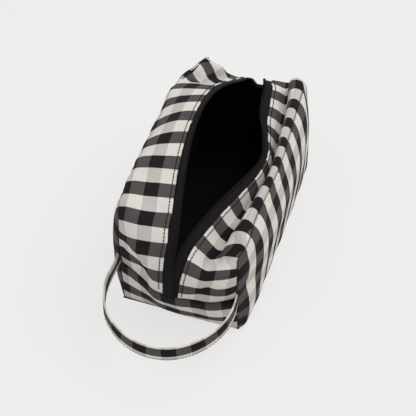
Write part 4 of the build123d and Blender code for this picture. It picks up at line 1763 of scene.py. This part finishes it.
@dataclass(frozen=True)
class SoftLamp:
    """A square lamp that points at the bag's middle."""

    name: str
    place: Place
    size: float
    power: float
    target: Place = (0.0, 0.0, 0.07)

    def build(self) -> None:
        """Hangs it in the scene."""
        data = bpy.data.lights.new(self.name, "AREA")
        data.size = self.size
        data.energy = self.power
        lamp = bpy.data.objects.new(self.name, data)
        lamp.location = self.place
        toward = Vector(self.target) - Vector(self.place)
        lamp.rotation_euler = toward.to_track_quat("-Z", "Y").to_euler()
        bpy.context.scene.collection.objects.link(lamp)


@dataclass
class Studio:
    """The pale floor, the light and the camera."""

    backdrop: Colour = srgb(238, 238, 237)
    lens: float = 72.84
    sensor: float = 36.0
    clip_start: float = 0.01
    camera_place: Place = (-0.61257, -0.19276, 0.68509)
    yaw: float = 18.683
    pitch: float = 45.748
    world_strength: float = 0.56
    lamps: tuple[SoftLamp, ...] = (
        SoftLamp("key_lamp", (0.45, -0.75, 2.0), size=1.5, power=24.0),
        SoftLamp("fill_lamp", (-1.3, 0.9, 1.3), size=1.2, power=5.0),
    )
    floor_reach: float = 6.0
    floor_rough: float = 0.9
    floor_gloss: float = 0.1
    floor_glow: float = 0.8

    def build(self) -> None:
        """Builds all of it."""
        self.world()
        self.floor()
        for lamp in self.lamps:
            lamp.build()
        self.camera()
        bpy.context.scene.view_settings.view_transform = "Standard"

    def world(self) -> None:
        """Lights the scene from all round, and shows the backdrop to the camera and in gloss."""
        world = bpy.data.worlds.new("studio")
        world.use_nodes = True
        world.node_tree.nodes.clear()
        wiring = Wiring(world.node_tree)
        seen = self.seen(wiring)
        plain = wiring.node("ShaderNodeBackground", {"Color": (1, 1, 1, 1), "Strength": self.world_strength})
        shown = wiring.node("ShaderNodeBackground", {"Color": self.backdrop, "Strength": 1.0})
        mix = wiring.node("ShaderNodeMixShader", {0: seen, 1: plain.outputs[0], 2: shown.outputs[0]})
        wiring.node("ShaderNodeOutputWorld", {0: mix.outputs[0]})
        bpy.context.scene.world = world

    def seen(self, wiring: Wiring) -> bpy.types.NodeSocket:
        """Finds where the camera looks, straight or through gloss or glass.

        Args:
            wiring: the shader tree that asks.

        Returns:
            1 where it looks and 0 elsewhere.
        """
        path = wiring.node("ShaderNodeLightPath")
        gloss = wiring.reckon("MAXIMUM", path.outputs["Is Camera Ray"], path.outputs["Is Glossy Ray"])
        return wiring.reckon("MAXIMUM", gloss, path.outputs["Is Transmission Ray"])

    def floor(self) -> None:
        """Lays a wide pale floor, which the camera sees mostly in its own colour, with a faint shadow."""
        mesh = bpy.data.meshes.new("floor")
        far = self.floor_reach
        corners = [(-far, -far, 0), (far, -far, 0), (far, far, 0), (-far, far, 0)]
        mesh.from_pydata(corners, [], [(0, 1, 2, 3)])
        floor = bpy.data.objects.new("floor", mesh)
        bpy.context.scene.collection.objects.link(floor)
        material, wiring, shader = start_material("pale_floor")
        wiring.set(shader, "Base Color", self.backdrop)
        wiring.set(shader, "Roughness", self.floor_rough)
        wiring.set(shader, "Specular IOR Level", self.floor_gloss)
        glow = wiring.node("ShaderNodeEmission", {"Color": self.backdrop, "Strength": 1.0})
        share = wiring.reckon("MULTIPLY", self.seen(wiring), self.floor_glow)
        mix = wiring.node("ShaderNodeMixShader", {0: share, 1: shader.outputs[0], 2: glow.outputs[0]})
        out = next(node for node in wiring.tree.nodes if node.type == "OUTPUT_MATERIAL")
        wiring.set(out, 0, mix.outputs[0])
        mesh.materials.append(material)

    def camera(self) -> None:
        """Places the camera: its right is level, and it looks along its yaw and down by its pitch."""
        yaw, pitch = math.radians(self.yaw), math.radians(self.pitch)
        look = Vector((math.cos(pitch) * math.cos(yaw), math.cos(pitch) * math.sin(yaw), -math.sin(pitch)))
        right = look.cross(Vector((0, 0, 1))).normalized()
        up = right.cross(look)
        data = bpy.data.cameras.new("camera")
        data.lens = self.lens
        data.sensor_width = self.sensor
        data.clip_start = self.clip_start
        camera = bpy.data.objects.new("camera", data)
        turn = Matrix((right, up, -look)).transposed()
        camera.matrix_world = Matrix.Translation(Vector(self.camera_place)) @ turn.to_4x4()
        bpy.context.scene.collection.objects.link(camera)
        bpy.context.scene.camera = camera


def main() -> None:
    """Builds the bag's pieces in order and reports each one."""
    logging.basicConfig(level=logging.INFO, format="%(name)s: %(message)s")
    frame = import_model()
    Studio().build()
    finishes = Finishes.build()
    left = ZipHalf(Side.LEFT, LEFT_LINES, LEFT_TEETH, seeds=(11, 21, 31))
    right = ZipHalf(Side.RIGHT, RIGHT_LINES, RIGHT_TEETH, seeds=(12, 22, 32))
    parts = (
        left,
        right,
        SideWall(left, LEFT_WALL, seeds=(21, 26)),
        SideWall(right, RIGHT_WALL, seeds=(22, 27)),
        EndWall(End.NEAR, left, right, NEAR_BULGE),
        EndWall(End.FAR, left, right, FAR_BULGE, slider_depth=4.8),
        BaseCloth(),
        HangLoop(),
    )
    for part in parts:
        for piece in part.build(finishes):
            LOG.info("%s: %d faces", piece.name, len(piece.data.polygons))
    ZipPull().dress(frame, finishes)


if __name__ == "__main__":
    main()
